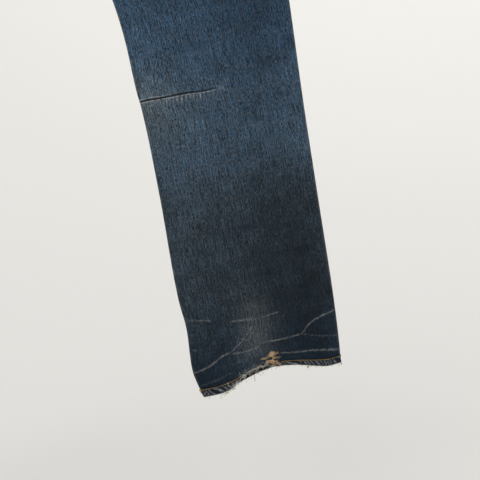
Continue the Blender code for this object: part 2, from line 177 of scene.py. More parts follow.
class JEANS_PG_cloth(bpy.types.PropertyGroup):
    """Sizes of the cloth and thread."""

    denim: bpy.props.FloatProperty(
        name="Denim", description="Thickness of one layer of denim", default=0.0015, min=0.0005, **LENGTH
    )
    hem_height: bpy.props.FloatProperty(
        name="Hem", description="Height of the turned hem", default=0.0125, min=0.006, **LENGTH
    )
    hem_wall: bpy.props.FloatProperty(
        name="Hem wall", description="Thickness of the turned hem", default=0.0026, min=0.001, **LENGTH
    )
    band_wall: bpy.props.FloatProperty(
        name="Band wall", description="Thickness of the waistband", default=0.0028, min=0.001, **LENGTH
    )
    patch: bpy.props.FloatProperty(
        name="Patch", description="Thickness of pockets, fly and loops", default=0.0012, min=0.0005, **LENGTH
    )
    relief: bpy.props.FloatProperty(
        name="Creases", description="Height of the creases, as a share of real ones", default=1.0, min=0.0
    )
    stitch: bpy.props.FloatProperty(
        name="Stitch", description="Length from one stitch to the next", default=0.0034, min=0.002, **LENGTH
    )
    thread: bpy.props.FloatProperty(
        name="Thread", description="Diameter of the sewing thread", default=0.0009, min=0.0004, **LENGTH
    )


class JEANS_PG_dye(bpy.types.PropertyGroup):
    """Colours of the cloth, thread and metal."""

    dark_blue: bpy.props.FloatVectorProperty(
        name="Unworn blue", description="Indigo not rubbed off", default=linear("121f2b"), **COLOUR
    )
    dark_grey: bpy.props.FloatVectorProperty(
        name="Unworn grey", description="Indigo dulled by soil", default=linear("1a1f22"), **COLOUR
    )
    light_blue: bpy.props.FloatVectorProperty(
        name="Worn blue", description="Indigo rubbed down to clear blue", default=linear("598ab8"), **COLOUR
    )
    light_grey: bpy.props.FloatVectorProperty(
        name="Worn grey", description="Rubbed indigo, dulled by soil", default=linear("7e9099"), **COLOUR
    )
    bare: bpy.props.FloatVectorProperty(
        name="Bare cotton", description="Core of the yarn, on crests", default=linear("c2c1bf"), **COLOUR
    )
    fleck: bpy.props.FloatVectorProperty(
        name="Soiled cotton", description="Flecks of bare, soiled yarn", default=linear("a0978b"), **COLOUR
    )
    tan: bpy.props.FloatVectorProperty(
        name="Stained cotton", description="Frayed yarn, stained tan", default=linear("b39876"), **COLOUR
    )
    # Painted shade: the reverse is set darker than the paler weft side, as it lies in shade inside the legs
    reverse: bpy.props.FloatVectorProperty(
        name="Reverse", description="Weft side of the denim", default=linear("59646d"), **COLOUR
    )
    gold: bpy.props.FloatVectorProperty(
        name="Sewing thread", description="Aged mustard sewing thread", default=linear("a68642"), **COLOUR
    )
    brass: bpy.props.FloatVectorProperty(
        name="Brass", description="Bright brass of the button", default=linear("b08d57"), **COLOUR
    )
    copper: bpy.props.FloatVectorProperty(
        name="Copper", description="Bright copper of the rivets", default=linear("a3704f"), **COLOUR
    )


class JEANS_PG_stage(bpy.types.PropertyGroup):
    """Floor and light."""

    floor: bpy.props.FloatVectorProperty(
        name="Floor", description="Colour of the floor", default=linear("edecea"), **COLOUR
    )
    floor_drop: bpy.props.FloatProperty(
        name="Floor below waist", description="Floor under the waist", default=1.33, min=1.1, **LENGTH
    )
    key: bpy.props.FloatProperty(
        name="Key light", description="Strength of the key light", default=0.9, min=0.0
    )
    fill: bpy.props.FloatProperty(
        name="Fill light", description="Strength of the fill light", default=0.25, min=0.0
    )
    ambient: bpy.props.FloatProperty(
        name="Ambient", description="Strength of the even light", default=0.85, min=0.0
    )


# ---------------------------------------------------------------- the form


def through(points, at):
    """Values at many places of a smooth curve through (place, value) points, which never overshoots them."""
    place, value = np.array(sorted(points), float).T
    at = np.clip(at, place[0], place[-1])
    span = np.diff(place)
    slope = np.diff(value) / span
    before, after = slope[:-1], slope[1:]
    same = before * after > 0
    heavy, light = 2 * span[1:] + span[:-1], span[1:] + 2 * span[:-1]
    mean = (heavy + light) / (heavy / np.where(same, before, 1) + light / np.where(same, after, 1))
    tangent = np.concatenate([slope[:1], np.where(same, mean, 0), slope[-1:]])
    k = np.clip(np.searchsorted(place, at, side="right") - 1, 0, len(span) - 1)
    t = (at - place[k]) / span[k]
    start = value[k] * (1 + 2 * t) * (1 - t) ** 2 + tangent[k] * span[k] * t * (1 - t) ** 2
    return start + value[k + 1] * t * t * (3 - 2 * t) + tangent[k + 1] * span[k] * t * t * (t - 1)


def inner_z(face, h):
    """Height of a row's inner end, on the inseam or the centre seam."""
    centre = BACK_RISE if face == BACK else -FRONT_DIP
    return np.interp(h, STATIONS, (-HEM_DROP, -KNEE_DROP, -CROTCH_DROP, centre - BAND_HEIGHT, centre))


def outer_z(h):
    """Height of a row's outer end, on the outseam."""
    return np.interp(h, STATIONS, (-OUTER_HEM_DROP, -OUTER_KNEE_DROP, -OUTER_CROTCH_DROP, -BAND_HEIGHT, 0.0))


def ends(face, h):
    """The two ends of a row as x, z, x, z: on the inseam or centre seam, and on the outseam."""
    zi, zo = inner_z(face, h), outer_z(h)
    xi = SEAM_GAP / 2 + np.where(np.asarray(h) < CROTCH, through(INSEAM, zi), 0.0)
    return xi, zi, through(OUTSEAM, zo), zo


def row_width(face, h):
    """Straight distance in metres from one end of a row to the other."""
    xi, zi, xo, zo = ends(face, h)
    return np.hypot(xo - xi, zo - zi)


def arch(face, u, h):
    """How far the worn heel edge lifts the lowest rows."""
    rising = (u - ARCH_START) / (ARCH_PEAK - ARCH_START)
    falling = (ARCH_END - u) / (ARCH_END - ARCH_PEAK)
    t = np.clip(np.where(u < ARCH_PEAK, rising, falling), 0, 1)
    height = ARCH_BACK if face == BACK else ARCH_FRONT
    return height * np.sin(np.pi / 2 * t) ** 1.5 * np.clip(1 - h / ARCH_REACH, 0, 1) ** 2


def rounding(distance, radius):
    """Height of a quarter circle that starts at a fold, at a distance from it."""
    return radius * np.sqrt(np.maximum(0.0, 1 - (1 - np.minimum(distance / radius, 1.0)) ** 2))


def depth(face, u, h, width):
    """Half depth of the form: a flat tube in each leg, and one flat tube for both halves over the crotch."""
    full = through(BACK_DEPTH if face == BACK else FRONT_DEPTH, h)
    radius = through(EDGE_RADIUS, h)
    near_out = rounding((1 - u) * width, radius)
    lens = np.clip(4 * u * (1 - u), 0, 1) ** LENS_POWER
    leg = np.minimum(rounding(u * width, radius), near_out) + (full - radius) * lens
    if face == BACK:
        sewn = np.sqrt(np.clip(1 - u / DART_END, 0, 1)) * np.clip(1 - abs(h - KNEE) / DART_HALF, 0, 1)
        leg = np.maximum(leg - DART_DEPTH * sewn, 0)
    seat = near_out + (full - radius) * np.clip(1 - u * u, 0, 1) ** LENS_POWER
    climbed = np.maximum(inner_z(face, h) + CROTCH_DROP, 0)
    quick = np.clip(climbed / FORK_HEIGHT, 0, 1)
    slow = np.clip(climbed / FORK_BLEND, 0, 1)
    share = slow * slow * (3 - 2 * slow)
    share = share + (np.sqrt(1 - (1 - quick) ** 2) - share) * np.exp(-((u / FORK_REACH) ** 2))
    return leg + (seat - leg) * share


def form(face, u, h):
    """Points of the form's outer surface on the +X half."""
    u, h = np.broadcast_arrays(np.asarray(u, float), np.asarray(h, float))
    xi, zi, xo, zo = ends(face, h)
    across = u + ((1 - np.cos(np.pi * u)) / 2 - u) * np.clip(h - CROTCH, 0, 1)
    x = xi + (xo - xi) * u
    z = zi + (zo - zi) * across + arch(face, u, h)
    y = face * (SEAM_GAP / 2 + depth(face, u, h, np.hypot(xo - xi, zo - zi)))
    return np.stack([x, y, z], -1)


def outward(face, u, h):
    """The form's outward directions. At a seam they stay in the seam's plane."""
    step = 2e-4
    across = form(face, np.minimum(u + step, 1), h) - form(face, np.maximum(u - step, 0), h)
    up = form(face, u, np.minimum(h + step, TOP)) - form(face, u, np.maximum(h - step, HEM))
    normal = np.cross(up, across) * face
    low = h <= CROTCH
    normal[..., 1] = np.where((u > 1 - 1e-6) | ((u < 1e-6) & low), 0.0, normal[..., 1])
    normal[..., 0] = np.where((u < 1e-6) & ~low, 0.0, normal[..., 0])
    return normal / np.maximum(np.linalg.norm(normal, axis=-1, keepdims=True), 1e-12)


def on_form(face, side, u, h, lift=0.0):
    """Places on the unworn form, moved out by lift, and the outward directions, on the side asked for."""
    normal = outward(face, u, h)
    flip = np.array([side, 1, 1])
    return (form(face, u, h) + normal * np.asarray(lift)[..., None]) * flip, normal * flip


def side_name(side):
    """The wearer's side, as piece names have it."""
    return "left" if side == LEFT else "right"


def located(face, x, z):
    """The (u, h) of places at x and z, above the knee, by halving h down to them."""
    x, z = np.broadcast_arrays(np.asarray(x, float), np.asarray(z, float))
    low, high = np.full(x.shape, float(KNEE)), np.full(x.shape, float(TOP))
    for _ in range(36):
        h = (low + high) / 2
        xi, _, xo, _ = ends(face, h)
        u = np.clip((x - xi) / (xo - xi), 0, 1)
        under = form(face, u, h)[..., 2] < z
        low, high = np.where(under, h, low), np.where(under, high, h)
    return u, h


def yoke_h(u):
    """The height of the yoke seam, deeper at the centre back than at the side."""
    centre = WAIST - YOKE_CENTRE / (CROTCH_DROP - BAND_HEIGHT + BACK_RISE)
    outer = WAIST - YOKE_SIDE / (OUTER_CROTCH_DROP - BAND_HEIGHT)
    return centre + (outer - centre) * u


def scoop(angle):
    """The x and z of places on the edge of the front pocket opening, 0 at the waist and 90 at the outseam."""
    _, _, x_side, z_side = ends(FRONT, WAIST)
    sine, cosine = np.sin(np.radians(angle)), np.cos(np.radians(angle))
    z = z_side - SCOOP_DEPTH * sine
    return x_side + (through(OUTSEAM, z) - x_side) * sine - SCOOP_WIDTH * cosine, z


def columns(face, h, spans, last=1.0):
    """u of each point of each row, close together on the folds at its ends. h has one value a row, and a row
    can end early, at last."""
    h = np.atleast_1d(np.asarray(h, float))
    fold = through(EDGE_RADIUS, h) / row_width(face, h)
    inside = np.linspace(0, 1, spans + 1)
    last = np.broadcast_to(np.asarray(last, float), h.shape)
    whole = last > 1 - 1e-6
    end = np.where(whole, 1 - fold, last * (1 - 0.02))
    middle = fold[:, None] + (end - fold)[:, None] * inside
    turn = np.array(FOLD_TURN)
    folded = 1 - fold[:, None] * turn[::-1]
    straight = end[:, None] + (last - end)[:, None] * inside[1 : len(turn) + 1] / inside[len(turn)]
    tail = np.where(whole[:, None], folded, straight)
    return np.concatenate([fold[:, None] * turn, middle, tail], axis=1)


# ---------------------------------------------------------------- creases, wear and painted shade

# Whitened creases round the ankle: width in mm, whiteness, height in mm, then (across, up) places in mm
ANKLE_CREASES = (
    (1.7, 0.50, 0.7, ((5, 117), (24, 113), (43, 109))),
    (1.7, 0.60, 0.7, ((70, 102), (88, 101), (104, 99), (112, 97))),
    (1.6, 0.50, 0.6, ((119, 99), (131, 100), (145, 101))),
    (1.8, 0.85, 0.9, ((2, 37), (16, 39), (30, 43), (41, 48), (52, 53), (66, 55))),
    (1.5, 0.70, 0.8, ((66, 55), (74, 61), (82, 67), (89, 74), (96, 81), (104, 90))),
    (1.8, 0.65, 0.8, ((66, 52), (78, 50), (88, 49), (103, 50), (110, 54))),
    (1.8, 0.75, 0.9, ((111, 55), (122, 57), (134, 56), (155, 56), (176, 58))),
    (1.6, 0.75, 0.8, ((176, 58), (185, 67), (194, 74), (202, 77), (215, 81), (225, 82), (236, 84))),
    (1.3, 0.35, 0.4, ((176, 58), (192, 53), (207, 49), (234, 44))),
    (1.9, 0.70, 0.6, ((133, 31), (146, 28), (161, 27), (186, 28), (208, 26), (230, 21))),
    (1.2, 0.35, 0.3, ((5, 72), (12, 69))),
    (1.6, 0.20, 0.4, ((4, 17), (20, 19), (40, 21), (58, 23))),
    (1.2, 0.45, 0.4, ((78, 75), (92, 68), (99, 67))),
    (1.2, 0.40, 0.4, ((88, 58), (97, 70), (103, 84))),
    (1.3, 0.15, 0.4, ((60, 34), (80, 37), (98, 33))),
)
# The same kinds of crease at the front of the ankle, where the leg breaks over a shoe
FRONT_ANKLE_CREASES = (
    (1.8, 0.55, 0.8, ((8, 88), (40, 92), (70, 84), (100, 90))),
    (1.8, 0.60, 0.8, ((100, 90), (130, 78), (160, 82), (196, 70))),
    (1.6, 0.50, 0.7, ((30, 42), (66, 47), (98, 40), (130, 44), (170, 37), (205, 40))),
    (1.5, 0.40, 0.6, ((60, 128), (96, 120), (140, 126))),
)
# Rubbed lines at the front of the hip
WHISKERS = (
    (4.5, 0.22, 0.9, ((14, 806), (60, 826), (120, 838), (190, 836))),
    (4.5, 0.20, 0.9, ((12, 834), (66, 862), (130, 880), (200, 880))),
    (4.0, 0.17, 0.8, ((20, 780), (70, 790), (130, 792), (190, 782))),
    (4.0, 0.13, 0.7, ((30, 880), (90, 906), (150, 918))),
)
# Creases behind the knee, over the dart
KNEE_CREASES = (
    (3.0, 0.05, 0.6, ((20, 520), (70, 534), (120, 526), (190, 536))),
    (3.0, 0.04, 0.6, ((40, 580), (100, 592), (170, 584), (220, 596))),
    (2.6, 0.03, 0.4, ((90, 470), (140, 482), (205, 474))),
)
# Soft folds: width in mm, height in mm, places
SOFT_FOLDS = (
    (10, 1.8, ((16, 772), (60, 742), (120, 736), (180, 760))),
    (13, -1.6, ((14, 745), (60, 702), (120, 690), (190, 702))),
    (9, 1.3, ((12, 806), (50, 792), (92, 800), (130, 820))),
    (17, 1.5, ((52, 30), (60, 180), (56, 330), (64, 430))),
    (22, -1.6, ((96, 120), (92, 260), (100, 420), (116, 600))),
    (18, 1.7, ((150, 60), (144, 220), (150, 400), (160, 640))),
    (16, -1.3, ((196, 60), (190, 240), (196, 430), (205, 640))),
    (14, 1.4, ((20, 470), (60, 560), (120, 640), (190, 720))),
    (16, -1.6, ((30, 600), (90, 690), (150, 760))),
    (12, 1.2, ((118, 448), (160, 428), (214, 420))),
    (14, -1.2, ((60, 420), (110, 390), (170, 380))),
)
# The knee dart's height, and the middle and half size of the heel hole, in mm
DART_UP = 451.0
HOLE = (116.5, 23.0)
HOLE_HALF = (5.2, 3.6)
# Tan strands that run out from the hole: end, half width at the hole and at the end, in mm
STAR = (
    ((125, 33), 5.8, 5.0),
    ((126, 22), 3.6, 2.2),
    ((106, 27), 3.6, 1.8),
    ((106, 13), 3.4, 2.4),
    ((122, 6), 4.2, 3.0),
    ((113, 4), 2.6, 2.0),
)
# Worn-off height of the back hem's lower edge along the heel
HEEL_LOSS = (
    (0, 0),
    (46, 0.2),
    (59, 6.5),
    (68, 9.5),
    (80, 12.0),
    (92, 13.5),
    (102, 11.5),
    (112, 5.0),
    (120, 1.5),
    (134, 0.2),
    (300, 0),
)
LEFT_HEEL = 0.45  # wear of the left heel, as a share of the right one's
STRIP = 3.0  # what is left of the hem over the worn heel, in mm
ROPE_PITCH = 8.6  # from one slanting ridge of the hem to the next, in mm

# Brightness of the rubbed denim up the leg and across it, as sRGB green. Across the leg it is partly painted
# light and shade: lighter near the inseam and darker towards the outseam, as from a light on the inseam side
LEVEL_UP = (
    (0, 0.142),
    (80, 0.158),
    (170, 0.180),
    (264, 0.206),
    (311, 0.242),
    (358, 0.270),
    (405, 0.277),
    (451, 0.283),
    (500, 0.271),
    (592, 0.256),
    (760, 0.250),
    (900, 0.256),
    (1060, 0.225),
)
LEVEL_AND_LIGHT_ACROSS = (
    (0, 0.02),
    (0.06, 0.036),
    (0.2, 0.022),
    (0.35, 0.01),
    (0.5, 0.0),
    (0.65, -0.022),
    (0.8, -0.032),
    (0.94, -0.006),
    (1, 0.004),
)
# Blueness of the dye up the leg, from soiled grey at 0 to clear blue at 1
BLUE_UP = (
    (0, 1.0),
    (60, 0.7),
    (150, 0.46),
    (264, 0.46),
    (358, 0.72),
    (451, 0.82),
    (520, 0.98),
    (600, 1.0),
    (1060, 1.0),
)
DARK_LEVEL, LIGHT_LEVEL = 0.1216, 0.549  # sRGB green of the unworn and worn colours
WAVES = 6  # waves summed in one wandering value


def rubbed_share(level):
    """How far cloth of a brightness lies from the unworn colour to the worn one, 0 to 1."""
    low, high = to_linear(DARK_LEVEL), to_linear(LIGHT_LEVEL)
    return np.clip((to_linear(level) - low) / (high - low), 0, 1)


def nearest(across, up, places):
    """Distance in mm to a line through places, and the share of its length where it is nearest."""
    places = np.array(places, float)
    steps = np.diff(places, axis=0)
    lengths = np.hypot(*steps.T)
    best = np.full(across.shape, 1e9)
    share = np.zeros(across.shape)
    done = 0.0
    for start, step, length in zip(places, steps, lengths):
        t = np.clip(((across - start[0]) * step[0] + (up - start[1]) * step[1]) / length**2, 0, 1)
        distance = np.hypot(across - start[0] - t * step[0], up - start[1] - t * step[1])
        closer = distance < best
        best = np.where(closer, distance, best)
        share = np.where(closer, (done + t * length) / lengths.sum(), share)
        done += length
    return best, share


def bell(distance, width):
    """1 at no distance, falling smoothly to about a third at the width."""
    return np.exp(-((distance / width) ** 2))


def wave(across, up, seed, size):
    """Smooth wandering values in about -1 to 1, from a few seeded waves of about that size in mm."""
    random = np.random.default_rng(seed)
    total = np.zeros(np.broadcast(across, up).shape)
    for _ in range(WAVES):
        angle, phase = random.uniform(0, 2 * np.pi, 2)
        pitch = 2 * np.pi / (size * random.uniform(0.6, 1.6))
        total += np.sin(pitch * (across * np.cos(angle) + up * np.sin(angle)) + phase)
    return total / math.sqrt(WAVES / 2) / 1.6


def moved(creases, strength=1.0, stretch=(1, 1), shift=(0, 0)):
    """The same creases at other places, stretched and shifted across and up."""
    changed = []
    for width, white, height, line in creases:
        line = [(stretch[0] * a + shift[0], stretch[1] * b + shift[1]) for a, b in line]
        changed.append((width, white * strength, height, line))
    return changed


def crease_list(face, side):
    """The creases of one panel. The left leg and the fronts have ones like those of the right leg's back."""
    if face == FRONT:
        shift = 7 if side == LEFT else 0
        return moved(FRONT_ANKLE_CREASES + WHISKERS, shift=(shift, shift))
    if side == RIGHT:
        return ANKLE_CREASES + KNEE_CREASES
    return moved(ANKLE_CREASES[2:], 0.9, (0.93, 1.08), (9, 3)) + moved(KNEE_CREASES, shift=(0, 12))


def heel_loss(side, across):
    """Millimetres worn off the lower edge of the back hem."""
    loss = through(HEEL_LOSS, across) * (1.0 if side == RIGHT else LEFT_HEEL)
    ragged = wave(across, 0 * across, 5 if side == RIGHT else 6, 6.0) + 0.7 * wave(across, 0 * across, 8, 2.6)
    return np.maximum(loss + ragged * (0.12 + np.minimum(loss, 4) * 0.28), 0)


def star(across, up):
    """How far a place belongs to the tan strands round the heel hole, 0 to 1."""
    found = np.zeros(across.shape)
    for end, wide, narrow in STAR:
        distance, share = nearest(across, up, (HOLE, end))
        half = 0.62 * (wide + (narrow - wide) * share) + 0.6 * wave(across, up, 21, 3.0)
        found = np.maximum(found, np.clip(1.6 - distance / np.maximum(half, 0.3), 0, 1))
    return found


def wear(face, side, u, h):
    """Relief in metres, the dye (worn share, with painted light and shade across the leg in it, and blueness)
    and the surface (bare crest, painted shade, tan) of places.
    """
    u, h = np.broadcast_arrays(np.asarray(u, float), np.asarray(h, float))
    width = row_width(face, h) / MM
    across = u * width
    up = np.interp(h, STATIONS, UP_AT_STATION) / MM
    edge = np.clip(np.minimum(across, width - across) / 14, 0, 1)
    edge = edge * edge * (3 - 2 * edge)
    relief = np.zeros(u.shape)
    bare = np.zeros(u.shape)
    # Painted shade: the shadow in the knee dart's slit, its puckers and its corner
    painted_shade = np.zeros(u.shape)
    # Whitened creases
    wander = wave(across, up, 33, 7.0), wave(across, up, 35, 7.0)
    uneven = 1 + 0.5 * wave(across, up, 31, 9.0)
    for size, strength, height, line in crease_list(face, side):
        distance, share = nearest(across + 0.5 * wander[0], up + 0.5 * wander[1], line)
        taper = np.clip(np.minimum(share, 1 - share) * 7 + 0.35, 0, 1)
        thin = size * (0.55 if size < 2.5 else 1.0)
        bare = np.maximum(bare, 0.42 * strength * taper * uneven * bell(distance, thin))
        relief += height * taper * (bell(distance, 1.7 * size) - 0.55 * bell(distance, 4.5 * size))
    # Soft folds, and waves that are strongest at the ankle
    for size, height, line in SOFT_FOLDS:
        distance, share = nearest(across, up, line)
        taper = np.clip(np.minimum(share, 1 - share) * 5, 0, 1)
        relief += (height if face == BACK else -0.8 * height) * taper * bell(distance, size)
    ankle = bell(up - 40, 75)
    relief += 0.55 * wave(across, up, 11 + side + 2 * face, 34.0) * (0.5 + ankle)
    relief += 0.16 * wave(across, up, 17 + side, 9.0) * (0.3 + ankle)
    # Brightness, rubbed at the calf's outside and dull along the inseam, with painted light and shade across
    # the leg, and blueness
    level = through(LEVEL_UP, up) + through(LEVEL_AND_LIGHT_ACROSS, u) * np.clip((1000 - up) / 200, 0.3, 1)
    blue = through(BLUE_UP, up)
    tan = np.zeros(u.shape)
    level = level + 0.030 * np.clip((u - 0.45) * 3, 0, 1) * bell(up - 372, 62)
    level = level - 0.028 * bell(u, 0.12) * bell(up - 350, 80)
    level = level - 0.080 * np.clip(1 - u / 0.36, 0, 1) * bell(up, 66)
    level = level + 0.008 * bell(u, 0.35) * bell(up - 200, 90)
    if face == BACK:
        # A pale haze over the ankle, the knee dart, and the heel worn down to its yarns
        haze = bell(across - 108, 26) * np.where(up < 72, bell(up - 72, 42), bell(up - 72, 58))
        haze *= 1 if side == RIGHT else 0.7
        low_haze = bell(across - 90, 36) * bell(up - 34, 25) * (1 if side == RIGHT else 0.6)
        level = level + 0.072 * haze + 0.040 * low_haze
        bare = np.maximum(bare, 0.10 * haze * np.clip(0.5 + wave(across, up, 43, 4.0), 0, 1))
        blue = blue - 0.35 * haze - 0.30 * low_haze
        relief, bare, painted_shade, level, blue = dart_wear_and_shade(across, up, relief, bare, painted_shade, level, blue)
        if side == RIGHT:
            tan = star(across, up)
            relief += 0.5 * tan
        fray = np.clip(1 - (up - 3 - heel_loss(side, across)) / 7, 0, 1) * bell(across - 80, 30)
        bare = np.maximum(bare, 0.45 * fray * (0.35 + 0.6 * wave(across, up, 41, 2.8)))
    else:
        # The thigh and knee, rubbed pale at the front
        thigh = bell(u - 0.45, 0.28) * bell(up - 700, 190)
        knee = bell(u - 0.5, 0.26) * bell(up - 455, 75)
        level = level + 0.085 * thigh + 0.075 * knee
    level = level + 0.010 * wave(across, up, 51 + side, 60.0) + 0.007 * wave(across, up, 57 + side, 22.0)
    # The edges along the seams, rubbed bare
    seam = np.minimum(across, width - across)
    bare = np.maximum(bare, 0.22 * bell(seam, 2.2) * (0.6 + 0.6 * wave(across, up, 61, 14.0)))
    # No relief at the seams, apart from the dart's own end
    keep = edge
    if face == BACK:
        keep = np.maximum(edge, bell(up - DART_UP, 12) * np.clip(across / 3, 0, 1) * (u < 0.5))
    relief = relief * MM * keep * bpy.context.scene.jeans_cloth.relief
    return relief, rubbed_share(level), *(np.clip(x, 0, 1) for x in (blue, bare, painted_shade, tan))


def dart_wear_and_shade(across, up, relief, bare, painted_shade, level, blue):
    """The sewn crease across the back of the knee: a slit with painted shadow in it and pale lips, puckers
    under it with painted shade in their troughs, and a painted shadow in the corner at the inseam.
    """
    line = DART_UP + 0.4 * np.sin(across / 9)
    below = line - up
    reach = np.clip(1 - across / 125, 0, 1) ** 0.35
    relief = relief - 3.4 * reach * bell(below, 1.0)
    relief = relief + 0.9 * reach * (bell(below + 2.6, 1.5) + bell(below - 2.8, 1.7))
    pucker = np.sin(across / 0.95 + 1.6 * np.sin(across / 7) + below / 5)
    pucker = pucker * bell(below - 6, 4.2) * bell(across - 76, 44) * (0.62 + 0.5 * wave(across, up, 73, 12.0))
    relief = relief + 0.9 * pucker
    # Painted shadow in the slit, and painted shade in the troughs of the puckers
    painted_shade = np.maximum(painted_shade, reach * bell(below, 0.95))
    painted_shade = np.maximum(painted_shade, 0.7 * np.clip(-pucker, 0, 1))
    uneven = 0.75 + 0.45 * wave(across, up, 71, 8.0)
    lips = 1.5 * bell(below - 2.2, 0.75) + (0.20 + 0.8 * bell(across - 4, 40)) * bell(below + 2.1, 0.65)
    bare = np.maximum(bare, reach * uneven * lips)
    bare = np.maximum(bare, 0.75 * np.clip(pucker, 0, 1))
    bare = np.maximum(bare, 0.28 * bell(np.hypot(across - 128, (up - 450) * 1.5), 5) * uneven)
    # Painted shadow in the corner where the crease meets the inseam, under the overhanging cloth
    corner = bell(across, 3.2) * bell(up - 462, 7)
    painted_shade = np.maximum(painted_shade, 1.2 * corner)
    relief = relief - 1.2 * corner
    level = level + 0.045 * bell(across - 14, 40) * bell(up - 452, 26)
    blue = blue - 0.5 * bell(across, 70) * bell(up - 440, 70)
    return relief, bare, painted_shade, level, blue


def cloth_at(face, side, u, h, lift=0.0):
    """Places on the worn cloth as (points, outward directions, wear with its painted shade), on the side
    asked for.
    """
    u, h = np.broadcast_arrays(np.asarray(u, float), np.asarray(h, float))
    found = wear(face, side, u, h)
    points, normal = on_form(face, side, u, h, found[0] + lift)
    return points, normal, found


def cloth_uv(face, u, h):
    """Metres along the weft and the warp, for the weave."""
    return np.stack([u * row_width(face, h) + 0.5 * face, np.interp(h, STATIONS, UP_AT_STATION)], -1)


# ---------------------------------------------------------------- meshes


def grid_faces(rows, cols, start, flip):
    """Four-sided faces of a grid of points, as an array of rows and columns of faces."""
    j, i = np.mgrid[0:rows, 0:cols]
    a = start + j * (cols + 1) + i
    corners = [a, a + 1, a + cols + 2, a + cols + 1]
    return np.stack(corners[::-1] if flip else corners, -1)


def loop_round(cols, box, start):
    """Point numbers round a block of a grid, anticlockwise. box has its first and last column, then row."""
    i0, i1, j0, j1 = box
    ring = [(j0, i) for i in range(i0, i1)] + [(j, i1) for j in range(j0, j1)]
    ring += [(j1, i) for i in range(i1, i0, -1)] + [(j, i0) for j in range(j1, j0, -1)]
    return [start + j * (cols + 1) + i for j, i in ring]


def rim_faces(fine, coarse, flip):
    """Triangles between a ring of points and one with half as many."""
    faces = []
    for k in range(len(coarse)):
        f0, f1, f2 = fine[2 * k], fine[2 * k + 1], fine[(2 * k + 2) % len(fine)]
        g0, g1 = coarse[k], coarse[(k + 1) % len(coarse)]
        faces += [(f1, f0, g0), (f1, g0, g1), (f2, f1, g1)]
    return [face[::-1] for face in faces] if flip else faces


def made(name, points, faces, materials):
    """An object from points and faces, with smooth shading, that rides on the garment."""
    mesh = bpy.data.meshes.new(name)
    mesh.from_pydata([tuple(p) for p in points], [], [tuple(f) for f in faces])
    mesh.shade_smooth()
    for material in materials:
        mesh.materials.append(material)
    obj = bpy.data.objects.new(name, mesh)
    bpy.context.scene.collection.objects.link(obj)
    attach(obj, BODY)
    return obj


def paint(obj, uv, found):
    """Stores the weave's place, and the wear and painted shade of each point."""
    mesh = obj.data
    _, share, blue, bare, painted_shade, tan = (np.ravel(x) for x in found)
    none, full = 0 * share, 0 * share + 1
    for name, channels in (("dye", (share, blue, none, full)), ("surface", (bare, painted_shade, tan, full))):
        layer = mesh.attributes.new(name, "FLOAT_COLOR", "POINT")
        layer.data.foreach_set("color", np.stack(channels, -1).astype(np.float32).ravel())
    corner = np.empty(len(mesh.loops), np.int32)
    mesh.loops.foreach_get("vertex_index", corner)
    layer = mesh.uv_layers.new(name="weave")
    layer.data.foreach_set("uv", uv.reshape(-1, 2)[corner].astype(np.float32).ravel())


def shell(name, face, side, u, h, lift, thickness, hole=None):
    """A closed wall of worn denim from grids of u and h."""
    points, normal, found = cloth_at(face, side, u, h, lift)
    inner = points[::2, ::2] - normal[::2, ::2] * thickness
    return walled(name, points, inner, cloth_uv(face, u, h), found, face * side > 0, hole)


def walled(name, outer, inner, uv, found, flip, hole=None, doubled=False):
    """A closed wall of denim between a grid of outer points and one of inner points with half its rows and
    columns. hole is a block of the grid that stays open. A doubled wall shows its outside on both faces."""
    rows, cols = outer.shape[0] - 1, outer.shape[1] - 1
    start = outer.shape[0] * outer.shape[1]
    outside = grid_faces(rows, cols, 0, flip)
    inside = grid_faces(rows // 2, cols // 2, start, not flip)
    edge = (0, cols, 0, rows)
    half = tuple(x // 2 for x in edge)
    rims = rim_faces(loop_round(cols, edge, 0), loop_round(cols // 2, half, start), flip)
    if hole:
        keep = np.ones((rows, cols), bool)
        keep[hole[2] : hole[3], hole[0] : hole[1]] = False
        outside = outside[keep]
        half = tuple(x // 2 for x in hole)
        keep = np.ones((rows // 2, cols // 2), bool)
        keep[half[2] : half[3], half[0] : half[1]] = False
        inside = inside[keep]
        rims += rim_faces(loop_round(cols, hole, 0), loop_round(cols // 2, half, start), not flip)
    outside, inside = outside.reshape(-1, 4).tolist(), inside.reshape(-1, 4).tolist()
    points = np.concatenate([outer.reshape(-1, 3), inner.reshape(-1, 3)])
    lining = indigo_denim_twill() if doubled else shaded_denim_reverse()
    obj = made(name, points, outside + inside + rims, [indigo_denim_twill(), lining])
    which = np.zeros(len(obj.data.polygons), np.int32)
    which[len(outside) : len(outside) + len(inside)] = 1
    obj.data.polygons.foreach_set("material_index", which)
    both = [np.concatenate([np.ravel(x), np.ravel(x[::2, ::2])]) for x in found]
    paint(obj, np.concatenate([uv.reshape(-1, 2), uv[::2, ::2].reshape(-1, 2)]), both)
    return obj


